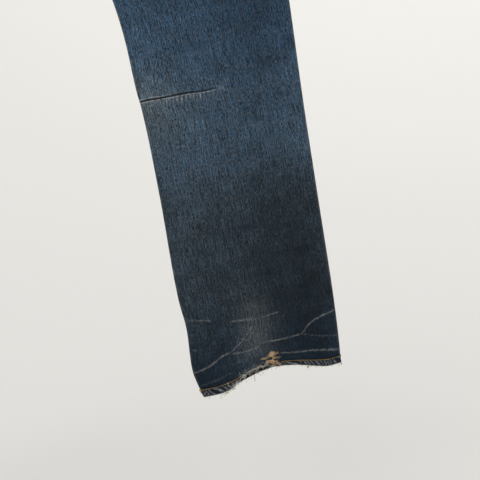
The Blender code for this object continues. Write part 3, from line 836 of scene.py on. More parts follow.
def tubes(name, paths, radii, material, sides=5):
    """Many small closed tubes as one piece. Each path is points, and each radius one value or one a point."""
    points, faces, count = [], [], 0
    for path, radius in zip(paths, radii):
        path = np.asarray(path, float)
        along = np.gradient(path, axis=0)
        along /= np.maximum(np.linalg.norm(along, axis=1, keepdims=True), 1e-12)
        helper = np.array([0.0, 1.0, 0.0]) if abs(along[0][1]) < 0.9 else np.array([1.0, 0.0, 0.0])
        first = np.cross(along, helper)
        first /= np.maximum(np.linalg.norm(first, axis=1, keepdims=True), 1e-12)
        second = np.cross(along, first)
        radius = np.broadcast_to(np.asarray(radius, float), len(path))
        turn = 2 * np.pi * np.arange(sides) / sides
        ring = first[:, None] * np.cos(turn)[None, :, None] + second[:, None] * np.sin(turn)[None, :, None]
        points.append((path[:, None] + ring * radius[:, None, None]).reshape(-1, 3))
        for j in range(len(path) - 1):
            for k in range(sides):
                a, b = count + j * sides + k, count + j * sides + (k + 1) % sides
                faces.append((a, a + sides, b + sides, b))
        end = count + (len(path) - 1) * sides
        faces.append(tuple(range(count, count + sides)))
        faces.append(tuple(range(end + sides - 1, end - 1, -1)))
        count += len(path) * sides
    return made(name, np.concatenate(points), faces, [material])


# ---------------------------------------------------------------- materials

# The unevenness of denim's yarns: size across and along the warp in mm, detail and roughness. Warp yarns are
# 0.4 mm apart, too fine to show, so they are drawn 1 to 3 mm wide.
YARN_PATTERNS = (
    ("slub", 1.2, 26.0, 1.5, 0.55),
    ("long_slub", 3.4, 110.0, 2.0, 0.55),
    ("fleck", 1.1, 4.0, 2.0, 0.70),
    ("cloud", 38.0, 55.0, 3.0, 0.55),
    ("tint", 1.4, 26.0, 3.0, 0.55),
    ("soil", 1.1, 8.0, 2.0, 0.70),
    ("crest", 1.6, 2.4, 3.0, 0.70),
    ("stain", 1.4, 1.9, 2.0, 0.55),
)
# How strongly each pattern darkens or lightens a yarn, and the sum that takes their mean away
STREAKS = (("slub", 5.0), ("long_slub", 1.5), ("fleck", 7.5), ("cloud", 0.7))
STREAK_MEAN = 7.45
# Twill lines are about 1 mm apart, too fine to show, so they are drawn 5.4 mm apart
TWILL_PITCH = 5.36


def connect(tree, added, inputs):
    """Sets or links inputs of a node, from values or sockets by input name or number."""
    for name, value in inputs.items():
        if isinstance(value, bpy.types.NodeSocket):
            tree.links.new(value, added.inputs[name])
        else:
            added.inputs[name].default_value = value


def node(tree, kind, inputs=None, out=0, **settings):
    """Adds a node with its settings and links, and gives one of its outputs, by name or number."""
    added = tree.nodes.new(kind)
    for name, value in settings.items():
        setattr(added, name, value)
    connect(tree, added, inputs or {})
    return added.outputs[out]


def start_material(name):
    """A material with its node tree and shader, or with None for both where it is made already."""
    material = bpy.data.materials.get(name)
    if material:
        return material, None, None
    material = bpy.data.materials.new(name)
    material.use_nodes = True
    tree = material.node_tree
    return material, tree, tree.nodes["Principled BSDF"]


def tone(colour, share):
    """A linear colour made darker or lighter."""
    return [min(c * share, 1) for c in colour[:3]] + [1]


def indigo_denim_twill():
    """Indigo denim, ring-spun and woven 3/1 twill, 13 oz: warp dyed on its outside only, so it rubs down to
    pale crests, with uneven slub yarns that streak it up the leg."""
    material, tree, shader = start_material("indigo_denim_twill")
    if tree is None:
        return material
    dyes = bpy.context.scene.jeans_dye
    place = node(tree, "ShaderNodeUVMap", uv_map="weave")
    dye = node(tree, "ShaderNodeAttribute", out="Color", attribute_name="dye")
    surface = node(tree, "ShaderNodeAttribute", out="Color", attribute_name="surface")
    # The worn share carries the painted light and shade across the leg as well as the rubbing
    worn, blueness, _ = node(tree, "ShaderNodeSeparateColor", {0: dye}).node.outputs
    # The surface's second channel, slit, is painted shade
    bare, slit, tan = node(tree, "ShaderNodeSeparateColor", {0: surface}).node.outputs
    yarn = {}
    for name, weft, warp, detail, rough in YARN_PATTERNS:
        size = (1000 / weft, 1000 / warp, 1)
        scaled = node(tree, "ShaderNodeVectorMath", {0: place, 1: size}, operation="MULTIPLY")
        values = {"Vector": scaled, "Scale": 1.0, "Detail": detail, "Roughness": rough}
        yarn[name] = node(tree, "ShaderNodeTexNoise", values, noise_dimensions="2D")

    # How far each yarn has rubbed down, with no yarn darker than the unworn dye
    streak = -STREAK_MEAN
    for name, gain in STREAKS:
        streak = node(tree, "ShaderNodeMath", {0: yarn[name], 1: gain, 2: streak}, operation="MULTIPLY_ADD")
    streak = node(tree, "ShaderNodeMath", {0: streak, 1: -1.05}, operation="MAXIMUM")
    uneven = node(tree, "ShaderNodeMath", {0: streak, 1: 0.68, 2: 0.97}, operation="MULTIPLY_ADD")
    rubbed = node(tree, "ShaderNodeMath", {0: worn, 1: uneven}, operation="MULTIPLY")
    rubbed = node(tree, "ShaderNodeMath", {0: streak, 1: 0.020, 2: rubbed}, operation="MULTIPLY_ADD")
    tint = node(tree, "ShaderNodeMath", {0: blueness, 1: -0.60}, operation="ADD")
    values = {0: yarn["tint"], 1: 1.1, 2: tint}
    tint = node(tree, "ShaderNodeMath", values, operation="MULTIPLY_ADD", use_clamp=True)
    dyed = []
    for grey, blue in ((dyes.dark_grey, dyes.dark_blue), (dyes.light_grey, dyes.light_blue)):
        values = {0: tint, 6: tuple(grey), 7: tuple(blue)}
        dyed.append(node(tree, "ShaderNodeMix", values, 2, data_type="RGBA"))
    colour = node(tree, "ShaderNodeMix", {0: rubbed, 6: dyed[0], 7: dyed[1]}, 2, data_type="RGBA")

    # Soiled flecks, bare crests, tan strands and painted shade, as near-black, in the dart's slit, its
    # puckers and the hem lie over the dyed yarns
    values = {0: yarn["soil"], 1: 8.0, 2: -4.1}
    soiled = node(tree, "ShaderNodeMath", values, operation="MULTIPLY_ADD", use_clamp=True)
    open_yarn = node(tree, "ShaderNodeMath", {0: worn, 1: 0.74, 2: 0.03}, operation="MULTIPLY_ADD")
    soiled = node(tree, "ShaderNodeMath", {0: soiled, 1: open_yarn}, operation="MULTIPLY")
    broken = node(tree, "ShaderNodeMath", {0: yarn["crest"], 1: 1.6, 2: 0.05}, operation="MULTIPLY_ADD")
    broken = node(tree, "ShaderNodeMath", {0: bare, 1: broken}, operation="MULTIPLY", use_clamp=True)
    broken = node(tree, "ShaderNodeMath", {0: broken, 1: 0.85}, operation="MULTIPLY")
    stained = node(tree, "ShaderNodeMath", {0: yarn["stain"], 1: 1.3, 2: 0.3}, operation="MULTIPLY_ADD")
    stained = node(tree, "ShaderNodeMath", {0: tan, 1: stained}, operation="MULTIPLY", use_clamp=True)
    # Painted shade, mixed in as near-black
    shaded = node(tree, "ShaderNodeMath", {0: slit, 1: 0.93}, operation="MULTIPLY", use_clamp=True)
    for amount, over in (
        (soiled, dyes.fleck),
        (broken, dyes.bare),
        (stained, dyes.tan),
        (shaded, linear("0a0d12")),
    ):
        colour = node(tree, "ShaderNodeMix", {0: amount, 6: colour, 7: tuple(over)}, 2, data_type="RGBA")

    # Twill lines run up to the right. A wave of scale 1 repeats ten times in tau along the sum of x and y
    scale = math.tau / (10 * math.sqrt(2) * TWILL_PITCH * MM)
    values = {"Vector": place, "Scale": scale, "Distortion": 1.5, "Detail": 1.0}
    twill = node(tree, "ShaderNodeTexWave", values, 1, bands_direction="DIAGONAL")
    weave = node(tree, "ShaderNodeMath", {0: yarn["fleck"], 1: 0.8}, operation="MULTIPLY")
    for pattern, gain in ((twill, 0.35), (yarn["slub"], 0.9)):
        weave = node(tree, "ShaderNodeMath", {0: pattern, 1: gain, 2: weave}, operation="MULTIPLY_ADD")
    bump = node(tree, "ShaderNodeBump", {"Strength": 0.45, "Distance": 0.0005, "Height": weave})
    connect(tree, shader, {"Base Color": colour, "Normal": bump})
    connect(tree, shader, {"Roughness": 0.94, "IOR": 1.47, "Specular IOR Level": 0.10})
    return material


def shaded_denim_reverse():
    """The weft side of the denim: undyed cotton weft over indigo warp, which reads as flecked blue-grey, set
    darker as painted shade for the inside of the legs.
    """
    material, tree, shader = start_material("indigo_denim_weft_side_in_shade")
    if tree is None:
        return material
    # The reverse colour, darkened as painted shade
    pale = bpy.context.scene.jeans_dye.reverse
    place = node(tree, "ShaderNodeUVMap", uv_map="weave")
    # Weft floats are 1.2 mm long, too fine to show, so they are drawn 3.2 mm long and 1.5 mm apart
    size = (1000 / 3.2, 1000 / 1.5, 1)
    scaled = node(tree, "ShaderNodeVectorMath", {0: place, 1: size}, operation="MULTIPLY")
    values = {"Vector": scaled, "Scale": 1.0, "Detail": 3.0}
    fleck = node(tree, "ShaderNodeTexNoise", values, noise_dimensions="2D")
    amount = node(tree, "ShaderNodeMapRange", {"Value": fleck, "From Min": 0.32, "From Max": 0.68})
    values = {0: amount, 6: tone(pale, 0.55), 7: tuple(pale)}
    colour = node(tree, "ShaderNodeMix", values, 2, data_type="RGBA")
    bump = node(tree, "ShaderNodeBump", {"Strength": 0.4, "Distance": 0.0005, "Height": fleck})
    connect(tree, shader, {"Base Color": colour, "Normal": bump})
    connect(tree, shader, {"Roughness": 0.95, "IOR": 1.47, "Specular IOR Level": 0.15})
    return material


def spun_yarn(name, dyed):
    """Spun yarn: matt and fibrous, a little uneven in colour along its length."""
    material, tree, shader = start_material(name)
    if tree is None:
        return material
    place = node(tree, "ShaderNodeTexCoord", out="Object")
    # The colour varies over 8 mm
    found = node(tree, "ShaderNodeTexNoise", {"Vector": place, "Scale": 1000 / 8, "Detail": 2.0})
    amount = node(tree, "ShaderNodeMapRange", {"Value": found, "From Min": 0.35, "From Max": 0.65})
    values = {0: amount, 6: tone(dyed, 0.5), 7: tone(dyed, 1.25)}
    colour = node(tree, "ShaderNodeMix", values, 2, data_type="RGBA")
    connect(tree, shader, {"Base Color": colour, "Roughness": 0.8, "IOR": 1.5, "Specular IOR Level": 0.3})
    return material


def gold_thread():
    """Polyester filament core wrapped in cotton: a firm round thread with a faint gloss."""
    return spun_yarn("core_spun_polyester_thread_mustard", bpy.context.scene.jeans_dye.gold)


def bare_yarn():
    """Ring-spun cotton with its dye worn away: pale, dull fuzz."""
    return spun_yarn("ring_spun_cotton_yarn_frayed", linear("bdbbb4"))


def tan_yarn():
    """Ring-spun cotton stained by the ground: dull tan tufts."""
    return spun_yarn("ring_spun_cotton_yarn_stained_tan", bpy.context.scene.jeans_dye.tan)


def old_metal(name, bright, dull, roughness):
    """Stamped trouser metal, tumbled bright, then dulled in the recesses by wear and washing."""
    material, tree, shader = start_material(name)
    if tree is None:
        return material
    place = node(tree, "ShaderNodeTexCoord", out="Object")
    # Tarnish comes in 1.5 mm patches
    found = node(tree, "ShaderNodeTexNoise", {"Vector": place, "Scale": 1000 / 1.5, "Detail": 4.0})
    amount = node(tree, "ShaderNodeMapRange", {"Value": found, "From Min": 0.38, "From Max": 0.6})
    colour = node(tree, "ShaderNodeMix", {0: amount, 6: dull, 7: bright}, 2, data_type="RGBA")
    rough = node(tree, "ShaderNodeMapRange", {"Value": found, "To Min": roughness + 0.2, "To Max": roughness})
    connect(tree, shader, {"Base Color": colour, "Roughness": rough, "Metallic": 1.0})
    return material


# ---------------------------------------------------------------- panels


def steps(*spans):
    """Heights from (start, end, spacing) runs in mm, joined, with an even number of spans."""
    runs = []
    for start, end, spacing in spans:
        count = max(2, 2 * round((end - start) / spacing / 2))
        runs.append(np.linspace(start, end, count + 1)[:-1])
    return np.concatenate(runs + [[spans[-1][1]]])


def leg_h(up):
    """h of heights up the leg in mm."""
    return np.interp(np.asarray(up) * MM, UP_AT_STATION, STATIONS)


def hem_top(side, across):
    """Where the hem's upper edge and the panel's lower edge meet, in mm up the back of the leg."""
    height = bpy.context.scene.jeans_cloth.hem_height / MM
    return np.maximum(height, heel_loss(side, across) + STRIP)


def leg_grid(face, side, up, spans):
    """u and h of a leg's rows. The lowest rows follow the worn hem, and rows near the hole open round it."""
    h_row = leg_h(up)
    u = columns(face, h_row, spans)
    across = u * row_width(face, h_row)[:, None] / MM
    height = np.broadcast_to(up[:, None], u.shape).copy()
    if face == BACK:
        reach = np.clip(1 - (height - up[0]) / 34, 0, 1) ** 2
        height += (hem_top(side, across) - bpy.context.scene.jeans_cloth.hem_height / MM) * reach
    return u, height, across


def open_hole(u, up, across):
    """Finds the block of the grid nearest the heel hole and pushes the grid round it into an oval."""
    i = 2 * int(round(np.argmin(abs(across[12] - HOLE[0])) / 2))
    j = 2 * int(round(np.argmin(abs(up[:, i] - HOLE[1])) / 2))
    block = (i - 2, i + 4, j - 2, j + 2)
    i0, i1, j0, j1 = block
    middle = (across[j0 : j1 + 1, i0 : i1 + 1].mean(), up[j0 : j1 + 1, i0 : i1 + 1].mean())
    half = (np.ptp(across[j0, i0 : i1 + 1]) / 2, np.ptp(up[j0 : j1 + 1, i0]) / 2)
    s, v = (across - middle[0]) / half[0], (up - middle[1]) / half[1]
    square, circle = np.maximum(abs(s), abs(v)), np.maximum(np.hypot(s, v), 1e-6)
    blend = np.clip((3.2 - square) / 2.2, 0, 1) ** 2
    grow = 1 + blend * (square / circle - 1)
    ragged = 1 + 0.12 * blend * np.sin(5 * np.arctan2(v, s) + 1.0)
    moved_across = middle[0] + s * grow * ragged * (half[0] + blend * (HOLE_HALF[0] - half[0]))
    moved_up = middle[1] + v * grow * ragged * (half[1] + blend * (HOLE_HALF[1] - half[1]))
    moved_across += blend * (HOLE[0] - middle[0])
    moved_up += blend * (HOLE[1] - middle[1])
    scale = np.where(across > 1e-6, moved_across / np.maximum(across, 1e-6), 1)
    return u * scale, moved_up, block


class JEANS_OT_back_panels(bpy.types.Operator):
    """Make the backs of the legs and the seat, with ankle creases, knee dart and worn heels"""

    bl_idname = "jeans.back_panels"
    bl_label = "Back panels"

    def execute(self, context):
        cloth = context.scene.jeans_cloth
        base = cloth.hem_height / MM + SEAM_GAP / MM / 2
        ankle_to_knee = (base, 130, 1.55), (130, 300, 2.6), (300, 442, 2.4), (442, 460, 0.8)
        up = steps(*ankle_to_knee, (460, 640, 3.4), (640, 791, 4.0))
        climb = np.linspace(0, 1, 55)[1:]
        spans = 134
        for side in (LEFT, RIGHT):
            u, height, across = leg_grid(BACK, side, up, spans)
            hole = None
            if side == RIGHT:
                u, height, hole = open_hole(u, height, across)
            u_seat = columns(BACK, CROTCH + climb * (yoke_h(0.0) - CROTCH), spans)
            h_seat = CROTCH + climb[:, None] * (yoke_h(u_seat) - TRIM / 2 - CROTCH)
            u, h = np.concatenate([u, u_seat]), np.concatenate([leg_h(height), h_seat])
            node_name = f"back_{side_name(side)}"
            panel = shell(f"denim_{node_name}", BACK, side, u, h, 0.0, cloth.denim, hole)
            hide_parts(node_name)
        return {"FINISHED"}


class JEANS_OT_front_panels(bpy.types.Operator):
    """Make the fronts of the legs, cut away at the pocket openings"""

    bl_idname = "jeans.front_panels"
    bl_label = "Front panels"

    def execute(self, context):
        cloth = context.scene.jeans_cloth
        base = cloth.hem_height / MM + SEAM_GAP / MM / 2
        up = steps((base, 150, 2.2), (150, 640, 3.6), (640, 791, 3.6))
        spans = 96
        angle = np.linspace(90, 0, 45)
        x, z = scoop(angle)
        last, h_edge = located(FRONT, x, z)
        last[0] = 1.0
        h_edge = np.minimum(h_edge, WAIST - TRIM)
        h_low = leg_h(up)
        climb = np.linspace(CROTCH, h_edge[0], 37)[1:-1]
        h_row = np.concatenate([h_low, climb, h_edge])
        if len(h_row) % 2 == 0:
            h_row = np.concatenate([h_low, climb[:-1], h_edge])
        ends_at = np.concatenate([np.ones(len(h_row) - len(angle)), last])
        for side in (LEFT, RIGHT):
            u = columns(FRONT, h_row, spans, ends_at)
            h = np.broadcast_to(h_row[:, None], u.shape)
            node_name = f"front_{side_name(side)}"
            panel = shell(f"denim_{node_name}", FRONT, side, u, h, 0.0, cloth.denim)
            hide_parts(node_name)
        return {"FINISHED"}


class JEANS_OT_yokes(bpy.types.Operator):
    """Make the shaped pieces between the seat and the waistband"""

    bl_idname = "jeans.yokes"
    bl_label = "Yokes"

    def execute(self, context):
        cloth = context.scene.jeans_cloth
        for side in (LEFT, RIGHT):
            # The folds at the ends of its rows are as wide as they are at these heights
            u = columns(BACK, np.linspace(2.85, 2.95, 25), 80)
            t = np.linspace(0, 1, 25)[:, None]
            low = yoke_h(u) + TRIM
            h = low + (WAIST - TRIM - low) * t
            node_name = f"yoke_{side_name(side)}"
            piece = shell(f"denim_{node_name}", BACK, side, u, h, 0.0, cloth.denim)
            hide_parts(node_name)
        return {"FINISHED"}


class JEANS_OT_pocket_facings(bpy.types.Operator):
    """Make the denim that shows inside the front pocket openings"""

    bl_idname = "jeans.pocket_facings"
    bl_label = "Pocket facings"

    def execute(self, context):
        cloth = context.scene.jeans_cloth
        angle = np.concatenate([[90], np.linspace(90, 0, 40)])
        x, z = scoop(angle)
        z[0] -= FACING_UNDERLAP
        first, h = located(FRONT, x - FACING_UNDERLAP, z)
        h = np.minimum(h, WAIST - TRIM)
        fold = through(EDGE_RADIUS, h) / ends(FRONT, h)[2]
        first = np.minimum(first, 1 - 4 * fold)
        t = np.linspace(0, 1, 31)
        u = first[:, None] + (1 - fold - first)[:, None] * t
        u = np.concatenate([u, 1 - fold[:, None] * np.array([0.66, 0.38, 0.18, 0.0])], axis=1)
        h = np.broadcast_to(h[:, None], u.shape)
        for side in (LEFT, RIGHT):
            node_name = f"pocket_facing_{side_name(side)}"
            lift = -cloth.denim - 2.5 * SEAM_GAP
            piece = shell(f"denim_{node_name}", FRONT, side, u, h, lift, cloth.patch)
            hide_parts(node_name)
        return {"FINISHED"}


def pocket_place(s, t):
    """The (u, h) of a place on a back pocket: s from -1 to 1 across it, t from 0 at its mouth to 1."""
    half = (POCKET_WIDTH + (POCKET_TAPER - POCKET_WIDTH) * t) / 2
    x = POCKET_CENTRE + s * half
    mouth = POCKET_TOP + POCKET_TILT * (x - POCKET_CENTRE)
    drop = POCKET_SIDE + (POCKET_POINT - POCKET_SIDE) * (1 - abs(s))
    return located(BACK, x, mouth - drop * t)


class JEANS_OT_back_pockets(bpy.types.Operator):
    """Make the two plain patch pockets"""

    bl_idname = "jeans.back_pockets"
    bl_label = "Back pockets"

    def execute(self, context):
        cloth = context.scene.jeans_cloth
        t, s = np.meshgrid(np.linspace(0, 1, 61), np.linspace(-1, 1, 57), indexing="ij")
        u, h = pocket_place(s, t)
        lift = 2 * SEAM_GAP + cloth.patch
        for side in (LEFT, RIGHT):
            node_name = f"back_pocket_{side_name(side)}"
            points, normal, found = cloth_at(BACK, side, u, h, lift)
            rim = np.minimum(np.minimum(1 - abs(s), t * 0.95), (1 - t) * 1.05) * 70
            worn = list(found)
            bulge = 0.0006 * bell(rim - 3.2, 1.6) + 0.0011 * np.clip(rim / 60, 0, 1)
            points = points + normal * bulge[..., None]
            worn[1] = found[1] * (1 - 0.25 * bell(rim - 6, 4)) + 0.02 * np.clip(rim / 60, 0, 1)
            worn[3] = np.maximum(found[3], (0.34 + 0.2 * wave(140 * s, 160 * t, 121, 14.0)) * bell(rim, 1.2))
            inner = points[::2, ::2] - normal[::2, ::2] * cloth.patch
            uv = cloth_uv(BACK, u, h) + 0.31  # cut from another part of the cloth
            piece = walled(f"denim_{node_name}", points, inner, uv, worn, side < 0)
            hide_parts(node_name)
        return {"FINISHED"}


class JEANS_OT_hems(bpy.types.Operator):
    """Make the turned hems, roped by washing and worn through at the heels"""

    bl_idname = "jeans.hems"
    bl_label = "Hems"

    def execute(self, context):
        cloth = context.scene.jeans_cloth
        for side in (LEFT, RIGHT):
            node_name = f"hem_{side_name(side)}"
            across = columns(BACK, [HEM], 130)[0]
            ahead = columns(FRONT, [HEM], 110)[0]
            faces = np.concatenate([np.full(len(across), BACK), np.full(len(ahead) - 2, FRONT)])
            u = np.concatenate([across, ahead[-2:0:-1]])
            width = np.where(faces == BACK, row_width(BACK, HEM), row_width(FRONT, HEM)) / MM
            place = u * width
            low = np.where(faces == BACK, heel_loss(side, place), 0.25 * abs(wave(place, 0 * place, 77, 5.0)))
            top = np.where(faces == BACK, hem_top(side, place), cloth.hem_height / MM) - SEAM_GAP / MM / 2
            rows = self.section(cloth, top - low)
            points, worn, uv = [], [], []
            for height, offset in rows:
                up = low + height
                base, normal = self.spots(faces, side, u, leg_h(up))
                rope = self.rope(side, place, up, top, low)
                outside = np.clip(1 + offset / (cloth.hem_wall / MM), 0, 1)
                lift = HEM_LIFT + (offset + rope * outside) * MM
                points.append(base + normal * lift[:, None])
                worn.append(self.worn(side, faces, place, up, low, rope, offset))
                uv.append(np.stack([place * MM + 0.5 * faces, up * MM], -1))
            count, ring = len(rows), len(u)
            j, i = np.mgrid[0:count, 0:ring]
            a, b = j * ring + i, j * ring + (i + 1) % ring
            c, d = (j + 1) % count * ring + (i + 1) % ring, (j + 1) % count * ring + i
            quads = np.stack([a, b, c, d] if side > 0 else [d, c, b, a], -1).reshape(-1, 4)
            points, quads = np.concatenate(points), quads.tolist()
            piece = made(f"turned_{node_name}", points, quads, [indigo_denim_twill()])
            found = [np.concatenate([np.broadcast_to(row[k], ring) for row in worn]) for k in range(6)]
            paint(piece, np.concatenate(uv), found)
            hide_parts(node_name)
        return {"FINISHED"}

    def spots(self, faces, side, u, h):
        """Places on the form and its outward directions, round both faces and closed at the seams."""
        behind = (faces == BACK)[:, None]
        both = zip(on_form(BACK, side, u, h), on_form(FRONT, side, u, h))
        points, normal = (np.where(behind, back, front) for back, front in both)
        points[(u < 1e-6) | (u > 1 - 1e-6), 1] = 0.0
        return points, normal

    def section(self, cloth, height):
        """Rows round the hem's cross-section as (mm above its lower edge, mm outwards): down its outside,
        round its fold and up its inside."""
        wall = cloth.hem_wall / MM
        fold = 0.6 * wall / 2
        rows = []
        for t in np.linspace(1, 0.12, 13):
            rows.append((fold + (height - fold) * t, 0 * height))
        for angle in (15, 50, 90, 130, 165):
            turn = math.radians(angle)
            rows.append((fold * (1 - math.sin(turn)), 0 * height - wall / 2 * (1 - math.cos(turn))))
        for t in np.linspace(0.15, 1, 7):
            rows.append((fold + (height - fold) * t, 0 * height - wall))
        return rows

    def rope(self, side, place, up, top, low):
        """Height of the slanting ridges that washing twists into a hem, in mm."""
        wander = 1.4 * wave(place, 0 * up, 81 + side, 40.0)
        phase = (place + 0.8 * (up - low)) / ROPE_PITCH + wander
        ridge = (0.5 + 0.5 * np.cos(2 * np.pi * phase)) ** 1.6
        share = np.clip((up - low) / np.maximum(top - low, 0.5), 0, 1)
        swell = np.sin(np.pi * np.clip(share * 0.86 + 0.10, 0, 1))
        return (1.15 * ridge - 0.35) * swell * np.clip((top - low) / 9, 0.25, 1)

    def worn(self, side, faces, place, up, low, rope, offset):
        """The hem's wear: pale on the ridges, with tan fray at the heel, and painted shade between the ridges
        and inside the turned hem.
        """
        back = faces == BACK
        level = 0.128 + 0.012 * wave(place, up, 91 + side, 24.0) + 0.04 * np.clip(rope, 0, 1)
        flat = 0 * level
        ridge = np.clip(rope - 0.2, 0, 1) * (0.85 + 0.45 * wave(place, up, 93, 11.0))
        edge = bell(up - low, 0.9) * 0.55
        heel = bell(place - 82, 30) * back
        loose = heel * (0.10 + 0.30 * wave(place, up, 95, 2.6) + 1.0 * bell(up - low, 1.3))
        bare = np.where(offset < -0.5, 0.08, np.maximum(np.maximum(ridge, edge), loose))
        tan = star(place, up) * back * (side == RIGHT)
        tan = tan + 0.35 * edge * np.clip(wave(place, 0 * up, 97, 16.0), 0, 1)
        # Painted shade inside the turned hem and in the troughs between its ridges
        painted_shade = np.where(offset < -0.5, 0.7, 0.6 * np.clip(0.1 - rope, 0, 1))
        return [flat, rubbed_share(level), flat + 0.75] + [np.clip(x, 0, 1) for x in (bare, painted_shade, tan)]


class JEANS_OT_waistband(bpy.types.Operator):
    """Make the doubled waistband, lapped at the fly"""

    bl_idname = "jeans.waistband"
    bl_label = "Waistband"

    def execute(self, context):
        cloth = context.scene.jeans_cloth
        lap = 0.012
        rows = []
        for h in np.linspace(WAIST + SEAM_GAP / 2 / BAND_HEIGHT, TOP, 13):
            slit = lap / ends(BACK, h)[2]
            front = columns(FRONT, [h], 60)[0]
            front = front[front > slit * 1.5]
            left = self.row(FRONT, LEFT, np.concatenate([[0.0, slit / 2], front]), h)
            right = self.row(FRONT, RIGHT, np.concatenate([[slit], front]), h)
            back = self.row(BACK, LEFT, columns(BACK, [h], 60)[0], h)
            back_right = [(p * [-1, 1, 1], n * [-1, 1, 1], w) for p, n, w in back]
            centre = (back[0][0] * [0, 1, 1], back[0][1], back[0][2])
            end, facing, worn = right[0]
            gap = np.array([SEAM_GAP / 2, 0, 0])
            point, normal, wear_there = left[1]
            lapped = [(end + gap, facing, worn), (point * [-1, 1, 1], normal * [-1, 1, 1], wear_there)]
            right[0] = (end - gap, facing, worn)
            rows.append(lapped + left[:-1] + back[:0:-1] + [centre] + back_right[1:] + right[-2::-1])
        if len(rows[0]) % 2 == 0:
            rows = [row[:8] + row[9:] for row in rows]
        points = np.array([[p for p, _, _ in row] for row in rows])
        normal = np.array([[n for _, n, _ in row] for row in rows])
        found = [np.array([[w[k] for _, _, w in row] for row in rows]) for k in range(6)]
        up = np.linspace(0, 1, 13)[:, None]
        found[3] = np.maximum(found[3], 0.38 * bell(np.minimum(up, 1 - up), 0.035))
        along = np.cumsum(np.linalg.norm(np.diff(points[6], axis=0), axis=1))
        along = np.concatenate([[0], along])
        ripple = 0.0003 * wave(along / MM, 0 * along, 101, 26.0)[None, :] * np.sin(np.pi * up)
        lift = BAND_LIFT + ripple - 0.0006 * bell(np.minimum(up, 1 - up), 0.05)
        outer = points + normal * lift[..., None]
        inner = (outer - normal * cloth.band_wall)[::2, ::2]
        # The band's cloth runs round it, so its warp does too
        uv = np.stack(np.broadcast_arrays(up * BAND_HEIGHT + 3.0, along[None, :]), -1)
        piece = walled("denim_waistband", outer, inner, uv, found, False, doubled=True)
        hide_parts("waistband")
        return {"FINISHED"}

    def row(self, face, side, u, h):
        """One row of places as (point, outward direction, wear)."""
        h = np.full(len(u), h)
        return list(zip(*on_form(face, side, u, h), np.transpose(wear(face, side, u, h))))


def fly_place(x, t):
    """The (u, h) of a place on the fly flap: x from the centre seam, t from 0 at the waistband to 1 below."""
    start = inner_z(FRONT, WAIST) - SEAM_GAP / 2
    return located(FRONT, abs(x), start - FLY_LENGTH * t)


def fly_reach(t):
    """Metres from the centre seam to the fly's edge, which is straight, then rounds in to its foot."""
    return FLY_LEFT * np.sqrt(np.clip(1 - np.clip((t - FLY_STRAIGHT) / FLY_ROUND, 0, None) ** 2, 0, 1))


class JEANS_OT_fly(bpy.types.Operator):
    """Make the lapped fly with its rounded foot"""

    bl_idname = "jeans.fly"
    bl_label = "Fly"

    def execute(self, context):
        cloth = context.scene.jeans_cloth
        t = np.linspace(0, 1, 61)[:, None]
        reach = fly_reach(t)
        right = -FLY_RIGHT * np.array([1, 0.5]) + 0 * t
        s = np.concatenate([right, reach * np.linspace(0, 1, 23)], axis=1)
        u, h = fly_place(s, t)
        h = np.minimum(h, WAIST - TRIM)
        points, normal, found = cloth_at(FRONT, LEFT, u, h)
        points[..., 0] = np.maximum(abs(s), 1e-5)
        sign = np.where(s < 0, -1, 1)[..., None] * np.array([1, 0, 0]) + np.array([0, 1, 1])
        rim = np.minimum(np.minimum(s + FLY_RIGHT, reach - s), (1 - t) * 0.1) / MM
        worn = list(found)
        worn[3] = np.maximum(found[3], 0.34 * bell(rim, 1.2))
        lift = 2.5 * SEAM_GAP + cloth.patch + 0.0004 * bell(rim - 3, 1.6)
        outer = (points + normal * lift[..., None]) * sign
        inner = (points + normal * (lift - cloth.patch)[..., None])[::2, ::2] * sign[::2, ::2]
        piece = walled("denim_fly", outer, inner, cloth_uv(FRONT, u, h) + 0.17, worn, True)
        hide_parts("fly_flap")
        return {"FINISHED"}


def loop_lift(t):
    """How far a belt loop stands out from the form: t from 0 at its foot to 1 at its top."""
    return BAND_LIFT + SEAM_GAP + bpy.context.scene.jeans_cloth.patch + 0.0020 * np.sin(np.pi * t) ** 0.6


class JEANS_OT_belt_loops(bpy.types.Operator):
    """Make the belt loops"""

    bl_idname = "jeans.belt_loops"
    bl_label = "Belt loops"

    def execute(self, context):
        cloth = context.scene.jeans_cloth
        for name, face, x in BELT_LOOPS:
            t, s = np.meshgrid(np.linspace(0, 1, 41), np.linspace(-1, 1, 13), indexing="ij")
            h = WAIST - LOOP_TAIL + t * (TOP - WAIST + LOOP_TAIL)
            offset = x + s * LOOP_HALF
            sign = np.stack([np.where(offset < 0, -1, 1), 1 + 0 * s, 1 + 0 * s], -1)
            u = abs(offset) / ends(face, h)[2]
            points, normal = on_form(face, LEFT, u, h)
            points[..., 0] = abs(offset)
            crown = 0.0004 * (1 - s**2) + 0.0003 * bell(abs(s) - 0.62, 0.16)
            off = loop_lift(t) + crown
            found = list(wear(face, LEFT, u, h))
            found[3] = np.clip(0.45 * bell(1 - abs(s), 0.18) + 0.3 * bell(t - 0.93, 0.08), 0, 1)
            outer = (points + normal * off[..., None]) * sign
            inner = (points + normal * (off - crown - cloth.patch)[..., None])[::2, ::2] * sign[::2, ::2]
            uv = np.stack([s * LOOP_HALF + x * 7, t * 0.055], -1)
            piece = walled(f"denim_{name}", outer, inner, uv, found, face > 0, doubled=True)
            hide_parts(name)
        return {"FINISHED"}


# ---------------------------------------------------------------- thread

STITCH_SHARE = 0.78  # the part of a stitch's length where its thread shows


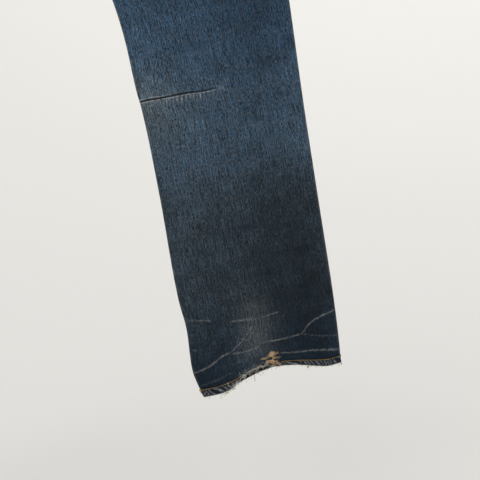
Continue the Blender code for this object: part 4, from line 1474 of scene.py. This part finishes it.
def stitched(paths):
    """Stitches along paths, as (short paths, radii). Each path is (points, outward directions)."""
    cloth = bpy.context.scene.jeans_cloth
    radius = cloth.thread / 2
    found, radii = [], []
    for points, normal in paths:
        points = points + normal * radius * 0.35
        along = np.concatenate([[0], np.cumsum(np.linalg.norm(np.diff(points, axis=0), axis=1))])
        count = max(1, int(along[-1] / cloth.stitch))
        starts = np.arange(count) * along[-1] / count
        share = np.array([0.0, 0.22, 0.5, 0.78, 1.0]) * STITCH_SHARE
        at = starts[:, None] + share * along[-1] / count
        placed = np.stack([np.interp(at, along, points[:, k]) for k in range(3)], -1)
        raised = np.stack([np.interp(at, along, normal[:, k]) for k in range(3)], -1)
        placed += raised * (radius * np.array([-0.7, 0.1, 0.3, 0.1, -0.7]))[None, :, None]
        for stitch in placed:
            found.append(stitch)
            radii.append(radius * np.array([0.55, 0.95, 1.0, 0.95, 0.55]))
    return found, radii


def on_cloth(face, side, u, h, lift=0.0):
    """Places on the worn cloth as (points, outward directions)."""
    return cloth_at(face, side, u, h, lift)[:2]


class JEANS_OT_hem_stitches(bpy.types.Operator):
    """Sew the hems with one row of mustard thread, lost over the worn heels"""

    bl_idname = "jeans.hem_stitches"
    bl_label = "Hem stitches"

    def execute(self, context):
        cloth = context.scene.jeans_cloth
        stitch_up = cloth.hem_height / MM - 1.6
        over = HEM_LIFT + 0.00025
        paths = []
        for side in (LEFT, RIGHT):
            width = row_width(BACK, HEM) / MM
            lost = (69, 126.5) if side == RIGHT else (84, 112)
            for start, end in ((0.6, lost[0]), (lost[1], width - 0.6)):
                place = np.linspace(start, end, 160)
                up = stitch_up + np.clip(through(HEEL_LOSS, place) - 8, 0, 3)
                up = up + 0.25 * wave(place, 0 * place, 111, 30.0)
                paths.append(on_form(BACK, side, place / width, leg_h(up), over))
            width = row_width(FRONT, HEM) / MM
            place = np.linspace(0.6, width - 0.6, 260)
            paths.append(on_form(FRONT, side, place / width, leg_h(stitch_up + 0 * place), over))
        found, radii = stitched(paths)
        knot = form(BACK, 0.004, leg_h(stitch_up)) * [RIGHT, 1, 1] + [0, 0.0012, 0]
        for angle in (0.2, 1.5, 2.7):
            t = np.linspace(-1, 1, 5)[:, None] * 0.0022
            found.append(knot + t * np.array([math.cos(angle), 0.15, math.sin(angle)]))
            radii.append(0.0007)
        tubes("hem_stitches", found, radii, gold_thread())
        return {"FINISHED"}


class JEANS_OT_seam_stitches(bpy.types.Operator):
    """Sew the seat seam, yokes, pockets, fly, waistband and belt loops"""

    bl_idname = "jeans.seam_stitches"
    bl_label = "Seam stitches"

    def execute(self, context):
        cloth = context.scene.jeans_cloth
        over = 2 * SEAM_GAP + cloth.patch
        paths = []
        for side in (LEFT, RIGHT):
            u = np.linspace(0.012, 0.985, 200)
            for drop in (0.012, 0.034):
                paths.append(on_cloth(BACK, side, u, yoke_h(u) - drop))
            for inset in (2.0, 8.0):
                paths += self.pocket_rows(side, inset, over + 0.0005)
            angle = np.linspace(3, 87, 120)
            for inset in (0.0022, 0.0082):
                x, z = scoop(angle)
                spin = np.radians(angle)
                u, h = located(FRONT, x - inset * np.cos(spin), z - inset * np.sin(spin))
                paths.append(on_cloth(FRONT, side, np.minimum(u, 0.985), h))
        for inset in (0.003, 0.009):
            z = np.linspace(-CROTCH_DROP + 0.06, inner_z(BACK, yoke_h(0.0)) + 0.055, 160)
            u, h = located(BACK, np.full(160, inset), z)
            paths.append(on_cloth(BACK, LEFT, u, h))
            z = np.linspace(-CROTCH_DROP + 0.055, inner_z(FRONT, WAIST) - FLY_LENGTH - 0.004, 60)
            u, h = located(FRONT, np.full(60, inset), z)
            paths.append(on_cloth(FRONT, LEFT, u, h))
        for inset in (0.003, 0.0088):
            foot = FLY_STRAIGHT + (1 - FLY_STRAIGHT) * np.sin(np.linspace(0, 1.5, 40))
            t = np.concatenate([np.linspace(0.015, FLY_STRAIGHT, 60), foot])
            reach = fly_reach(t) - inset
            x = np.clip(reach, 0.0005, None)
            t = np.where(reach > 0.002, t * (1 - inset / FLY_LENGTH * 0.6), t - 0.03)
            u, h = fly_place(x, t)
            paths.append(on_cloth(FRONT, LEFT, u, h, 2.5 * SEAM_GAP + cloth.patch + 0.0002))
        for height in (WAIST + 0.07, TOP - 0.07):
            for face in (BACK, FRONT):
                for side in (LEFT, RIGHT):
                    u = np.linspace(0.004 if face == BACK else 0.06, 0.997, 200)
                    paths.append(on_form(face, side, u, 0 * u + height, BAND_LIFT))
        found, radii = stitched(paths)
        for _, face, x in BELT_LOOPS:
            for level in (WAIST - LOOP_TAIL * 0.75, TOP - 0.05):
                self.bar_tack(found, radii, face, x, level)
        tubes("seam_stitches", found, radii, gold_thread())
        return {"FINISHED"}

    def pocket_rows(self, side, inset, lift):
        """Stitches in from the pocket's edge, round its sides and point, and one row along its mouth."""
        across, down = inset / 72, inset / 138
        t = np.linspace(0.012, 1 - down, 90)
        rows = [on_cloth(BACK, side, *pocket_place(0 * t + s, t), lift) for s in (across - 1, 1 - across)]
        s = np.linspace(across - 1, 1 - across, 90)
        rows.append(on_cloth(BACK, side, *pocket_place(s, 0 * s + 1 - down), lift))
        mouth = 0.022 if inset < 5 else 0.085
        rows.append(on_cloth(BACK, side, *pocket_place(s, 0 * s + mouth), lift))
        return rows

    def bar_tack(self, found, radii, face, x, h):
        """A block of close stitches across a belt loop."""
        for k in range(7):
            offset = x + (k - 3) * 0.0016
            sign = np.array([-1 if offset < 0 else 1, 1, 1])
            level = np.linspace(h - 0.02, h + 0.02, 4)
            u = abs(offset) / ends(face, level)[2]
            points, normal = form(face, u, level), outward(face, u, level)
            points[:, 0] = abs(offset)
            t = np.clip((h - WAIST + LOOP_TAIL) / (TOP - WAIST + LOOP_TAIL), 0, 1)
            found.append((points + normal * (loop_lift(t) + 0.0005)) * sign)
            radii.append(0.0005)


class JEANS_OT_heel_fray(bpy.types.Operator):
    """Add the loose yarns of the worn heels: pale fuzz, tan tufts round the hole and a long hanging thread"""

    bl_idname = "jeans.heel_fray"
    bl_label = "Heel fray"

    def execute(self, context):
        random = np.random.default_rng(7)
        pale, pale_radii, tan, tan_radii = [], [], [], []
        for side in (LEFT, RIGHT):
            amount = 160 if side == RIGHT else 60
            for _ in range(amount):
                place = float(np.clip(random.normal(76, 22), 30, 125))
                if random.random() < 0.7:
                    up = self.lowest(side, place) + random.uniform(-0.2, 3)
                else:
                    up = random.uniform(3, 9)
                length = random.uniform(2, 6) if random.random() < 0.85 else random.uniform(6, 10)
                angle, off = random.normal(-1.9, 0.8), random.uniform(0.6, 2.2)
                pale.append(self.yarn(random, side, place, up, angle, length, off))
                pale_radii.append(random.uniform(0.00016, 0.00028))
            for _ in range(110 if side == RIGHT else 40):
                place = float(random.uniform(6, 215))
                up = self.lowest(side, place) + random.uniform(0, 1.5)
                angle, length = random.normal(-1.6, 0.5), random.uniform(1.5, 4.5)
                pale.append(self.yarn(random, side, place, up, angle, length, 0.8))
                pale_radii.append(random.uniform(0.00012, 0.0002))
            if side == RIGHT:
                for end, wide, narrow in STAR:
                    for _ in range(int(2.0 * wide)):
                        t = random.uniform(0.4, 0.95)
                        place = HOLE[0] + (end[0] - HOLE[0]) * t + random.normal(0, 0.9)
                        up = HOLE[1] + (end[1] - HOLE[1]) * t + random.normal(0, 0.9)
                        angle = math.atan2(end[1] - HOLE[1], end[0] - HOLE[0]) + random.normal(0, 0.5)
                        length, off = random.uniform(2, 4), random.uniform(0.6, 1.4)
                        tan.append(self.yarn(random, side, place, up, angle, length, off))
                        tan_radii.append(random.uniform(0.00022, 0.0004))
            for place, up, count in ((38, 0.3, 9), (166, 0.4, 7), (row_width(BACK, HEM) / MM - 1.5, 0.5, 5)):
                for _ in range(count if side == RIGHT else count // 2):
                    start = place + random.normal(0, 1.6)
                    angle, length = random.normal(-1.5, 0.45), random.uniform(2.5, 5.5)
                    tan.append(self.yarn(random, side, start, up, angle, length, 0.9))
                    tan_radii.append(random.uniform(0.00022, 0.00036))
        tubes("heel_fray", pale, pale_radii, bare_yarn(), sides=4)
        tan.append(self.hanging())
        tan_radii.append(0.00055)
        tubes("heel_fray_tan", tan, tan_radii, tan_yarn(), sides=5)
        return {"FINISHED"}

    def lowest(self, side, place):
        """Height in mm of the worn lower edge of the back hem."""
        return float(heel_loss(side, np.array([place]))[0])

    def surface(self, side, place, up, off):
        """Points over the back of the hem, or hanging below it where up is under 0, all in mm."""
        u = np.clip(place / (row_width(BACK, HEM) / MM), 0.002, 0.998)
        points, _ = on_form(BACK, side, u, leg_h(np.maximum(up, 0)), HEM_LIFT + off * MM)
        return points + np.minimum(up, 0)[..., None] * MM * np.array([0, 0, 1])

    def yarn(self, random, side, place, up, angle, length, off):
        """A loose yarn from a place on the back of the hem, curling off it, in a direction across it."""
        t = np.linspace(0, 1, 7)
        bend = random.normal(0, 0.9)
        turn = angle + bend * t
        along = np.cumsum(np.cos(turn)) * length / 7
        rise = np.cumsum(np.sin(turn)) * length / 7
        return self.surface(side, place + along, up + rise, 0.3 + off * np.sin(np.pi * 0.8 * t))

    def hanging(self):
        """The long tan thread that hangs from the heel."""
        start = self.surface(RIGHT, np.array([96.0]), np.array([17.0]), np.array([0.6]))[0]
        t = np.linspace(0, 1, 14)[:, None]
        swing = np.array([0.0092, 0.0035, 0]) * np.sin(np.pi / 2 * t)
        swing = swing - np.array([0.0008, 0, 0]) * np.sin(2.6 * np.pi * t)
        return start + swing + np.array([0, 0, -0.0245]) * (0.35 * t + 0.65 * t**1.35)


# ---------------------------------------------------------------- metal

# Cross-sections from the cloth out, as share of the radius and height in mm
BUTTON_RADIUS = 0.0085
BUTTON_PROFILE = (
    ((0, 0), (0.45, 0), (0.42, 0.4), (0.42, 1.0), (0.60, 1.2), (0.93, 1.3))  # stem and underside
    + ((1, 1.6), (1, 2.1), (0.97, 2.6), (0.91, 3.0), (0.84, 3.1), (0.78, 2.8), (0.74, 2.5))  # rim
    + ((0.70, 2.4), (0.46, 2.5), (0.42, 2.8), (0.36, 2.9), (0.30, 2.7), (0.24, 2.5), (0, 2.5))  # inner ring
)
RIVET_RADIUS = 0.0045
RIVET_PROFILE = (
    ((0, 0), (1, 0), (1, 0.3), (0.95, 0.6), (0.84, 0.9), (0.66, 1.1), (0.46, 1.2))  # collar
    + ((0.34, 1.2), (0.28, 1.6), (0.20, 1.9), (0.1, 2.0), (0, 2.0))  # post
)


def turned(name, profile, size, place, axis, material, steps_round):
    """A round piece turned about an axis. profile has pairs of (share of the radius, height in mm) that start
    and end on the axis, and size is the radius."""
    axis = axis / np.linalg.norm(axis)
    first = np.cross(axis, [0, 0, 1])
    first /= np.linalg.norm(first)
    second = np.cross(axis, first)
    turn = 2 * np.pi * np.arange(steps_round) / steps_round
    ring = np.cos(turn)[:, None] * first + np.sin(turn)[:, None] * second
    points = [place]
    for share, height in profile[1:-1]:
        points += list(place + axis * height * MM + ring * share * size)
    points.append(place + axis * profile[-1][1] * MM)
    faces = [(0, 1 + (k + 1) % steps_round, 1 + k) for k in range(steps_round)]
    for j in range(len(profile) - 3):
        for k in range(steps_round):
            a, b = 1 + j * steps_round + k, 1 + j * steps_round + (k + 1) % steps_round
            faces.append((a, b, b + steps_round, a + steps_round))
    base = 1 + (len(profile) - 3) * steps_round
    faces += [(base + k, base + (k + 1) % steps_round, len(points) - 1) for k in range(steps_round)]
    return made(name, points, faces, [material])


class JEANS_OT_metal(bpy.types.Operator):
    """Make the brass waist button and the copper rivets"""

    bl_idname = "jeans.metal"
    bl_label = "Button and rivets"

    def execute(self, context):
        dyes = context.scene.jeans_dye
        brass = old_metal("stamped_brass_tumbled", tuple(dyes.brass), linear("5a4526"), 0.34)
        copper = old_metal("stamped_copper_aged", tuple(dyes.copper), linear("5a3a2a"), 0.38)
        h = np.array((WAIST + TOP) / 2)
        place, normal = on_form(FRONT, LEFT, 0.0, h, BAND_LIFT + 2 * SEAM_GAP)
        place[0] = 0
        piece = turned("brass_waist_button", BUTTON_PROFILE, BUTTON_RADIUS, place, normal, brass, 48)
        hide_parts("waist_button")
        for side in (LEFT, RIGHT):
            for kind, angle, dx, dz in RIVETS:
                x, z = scoop(angle)
                u, h = located(FRONT, x + dx, z + dz)
                point, normal = on_cloth(FRONT, side, u, h)
                place = point + normal * 2 * SEAM_GAP
                node_name = f"rivet_{kind}_{side_name(side)}"
                name = f"copper_{node_name}"
                piece = turned(name, RIVET_PROFILE, RIVET_RADIUS, place, normal, copper, 32)
                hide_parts(node_name)
        return {"FINISHED"}


# ---------------------------------------------------------------- stage


class JEANS_OT_stage(bpy.types.Operator):
    """Set up the pale floor, the soft lights and the camera"""

    bl_idname = "jeans.stage"
    bl_label = "Stage"

    def execute(self, context):
        settings = context.scene.jeans_stage
        self.floor(settings)
        world = bpy.data.worlds.new("even_light")
        context.scene.world = world
        world.use_nodes = True
        background = world.node_tree.nodes["Background"]
        background.inputs[0].default_value = linear("f8f8f6")
        background.inputs[1].default_value = settings.ambient
        self.sun("key", (0.55, 0.75, 0.45), settings.key)
        self.sun("fill_back", (-0.80, 0.55, 0.15), settings.fill)
        self.sun("front", (-0.60, -0.75, 0.45), 0.8 * settings.key)
        camera = bpy.data.objects.new("camera", bpy.data.cameras.new("camera"))
        context.scene.collection.objects.link(camera)
        camera.data.lens = 50
        camera.data.sensor_width = 36
        camera.location = (-0.290, 1.04, -0.828)
        camera.rotation_euler = (math.radians(90), 0, math.radians(180))
        context.scene.camera = camera
        context.scene.view_settings.view_transform = "Standard"
        return {"FINISHED"}

    def floor(self, settings):
        """A round floor that curves up at its far rim, so that every view ends in the same pale tone."""
        rings = [(0.0, 0.0), (1.2, 0.0), (1.6, 0.005)]
        for turn in np.radians(range(4, 73, 4)):
            rings.append((1.6 + 6.4 * math.sin(turn), 6.4 - 6.4 * math.cos(turn)))
        count = 96
        turn = 2 * np.pi * np.arange(count) / count
        drop = settings.floor_drop
        points = [(r * math.cos(t), r * math.sin(t), z - drop) for r, z in rings[1:] for t in turn]
        points.append((0, 0, -drop))
        faces = [(len(points) - 1, k, (k + 1) % count) for k in range(count)]
        for j in range(len(rings) - 2):
            for k in range(count):
                a, b = j * count + k, j * count + (k + 1) % count
                faces.append((a, a + count, b + count, b))
        mesh = bpy.data.meshes.new("floor")
        mesh.from_pydata(points, [], faces)
        mesh.shade_smooth()
        floor = bpy.data.objects.new("floor", mesh)
        bpy.context.scene.collection.objects.link(floor)
        material, tree, shader = start_material("painted_plaster_matt")
        found = node(tree, "ShaderNodeTexNoise", {"Scale": 0.7, "Detail": 2.0})
        values = {0: found, 6: tone(settings.floor, 0.97), 7: tuple(settings.floor)}
        colour = node(tree, "ShaderNodeMix", values, 2, data_type="RGBA")
        connect(tree, shader, {"Base Color": colour, "Roughness": 0.9, "Specular IOR Level": 0.2})
        mesh.materials.append(material)

    def sun(self, name, towards, strength):
        """A wide soft light as from a large window in one direction."""
        lamp = bpy.data.lights.new(name, "SUN")
        lamp.angle = math.radians(50)
        lamp.energy = strength
        lamp.color = (1.0, 0.985, 0.96)
        obj = bpy.data.objects.new(name, lamp)
        x, y, z = towards
        obj.rotation_euler = (math.atan2(math.hypot(x, y), z), 0, math.atan2(x, -y))
        bpy.context.scene.collection.objects.link(obj)


# ---------------------------------------------------------------- add-on

OPERATORS = (
    JEANS_OT_back_panels,
    JEANS_OT_front_panels,
    JEANS_OT_yokes,
    JEANS_OT_pocket_facings,
    JEANS_OT_back_pockets,
    JEANS_OT_hems,
    JEANS_OT_waistband,
    JEANS_OT_fly,
    JEANS_OT_belt_loops,
    JEANS_OT_hem_stitches,
    JEANS_OT_seam_stitches,
    JEANS_OT_heel_fray,
    JEANS_OT_metal,
    JEANS_OT_stage,
)


class JEANS_PT_panel(bpy.types.Panel):
    """Lists the settings and the pieces"""

    bl_idname = "JEANS_PT_panel"
    bl_label = "Worn jeans"
    bl_space_type = "VIEW_3D"
    bl_region_type = "UI"
    bl_category = "Jeans"

    def draw(self, context):
        for settings in (context.scene.jeans_cloth, context.scene.jeans_dye, context.scene.jeans_stage):
            box = self.layout.box()
            for name in settings.__annotations__:
                box.prop(settings, name)
        for operator in OPERATORS:
            self.layout.operator(operator.bl_idname)


CLASSES = (JEANS_PG_cloth, JEANS_PG_dye, JEANS_PG_stage) + OPERATORS + (JEANS_PT_panel,)


def register():
    for cls in CLASSES:
        bpy.utils.register_class(cls)
    bpy.types.Scene.jeans_cloth = bpy.props.PointerProperty(type=JEANS_PG_cloth)
    bpy.types.Scene.jeans_dye = bpy.props.PointerProperty(type=JEANS_PG_dye)
    bpy.types.Scene.jeans_stage = bpy.props.PointerProperty(type=JEANS_PG_stage)


def unregister():
    del bpy.types.Scene.jeans_cloth
    del bpy.types.Scene.jeans_dye
    del bpy.types.Scene.jeans_stage
    for cls in reversed(CLASSES):
        bpy.utils.unregister_class(cls)


def main():
    register()
    for operator in OPERATORS:
        group, name = operator.bl_idname.split(".")
        getattr(getattr(bpy.ops, group), name)()


if __name__ == "__main__":
    main()
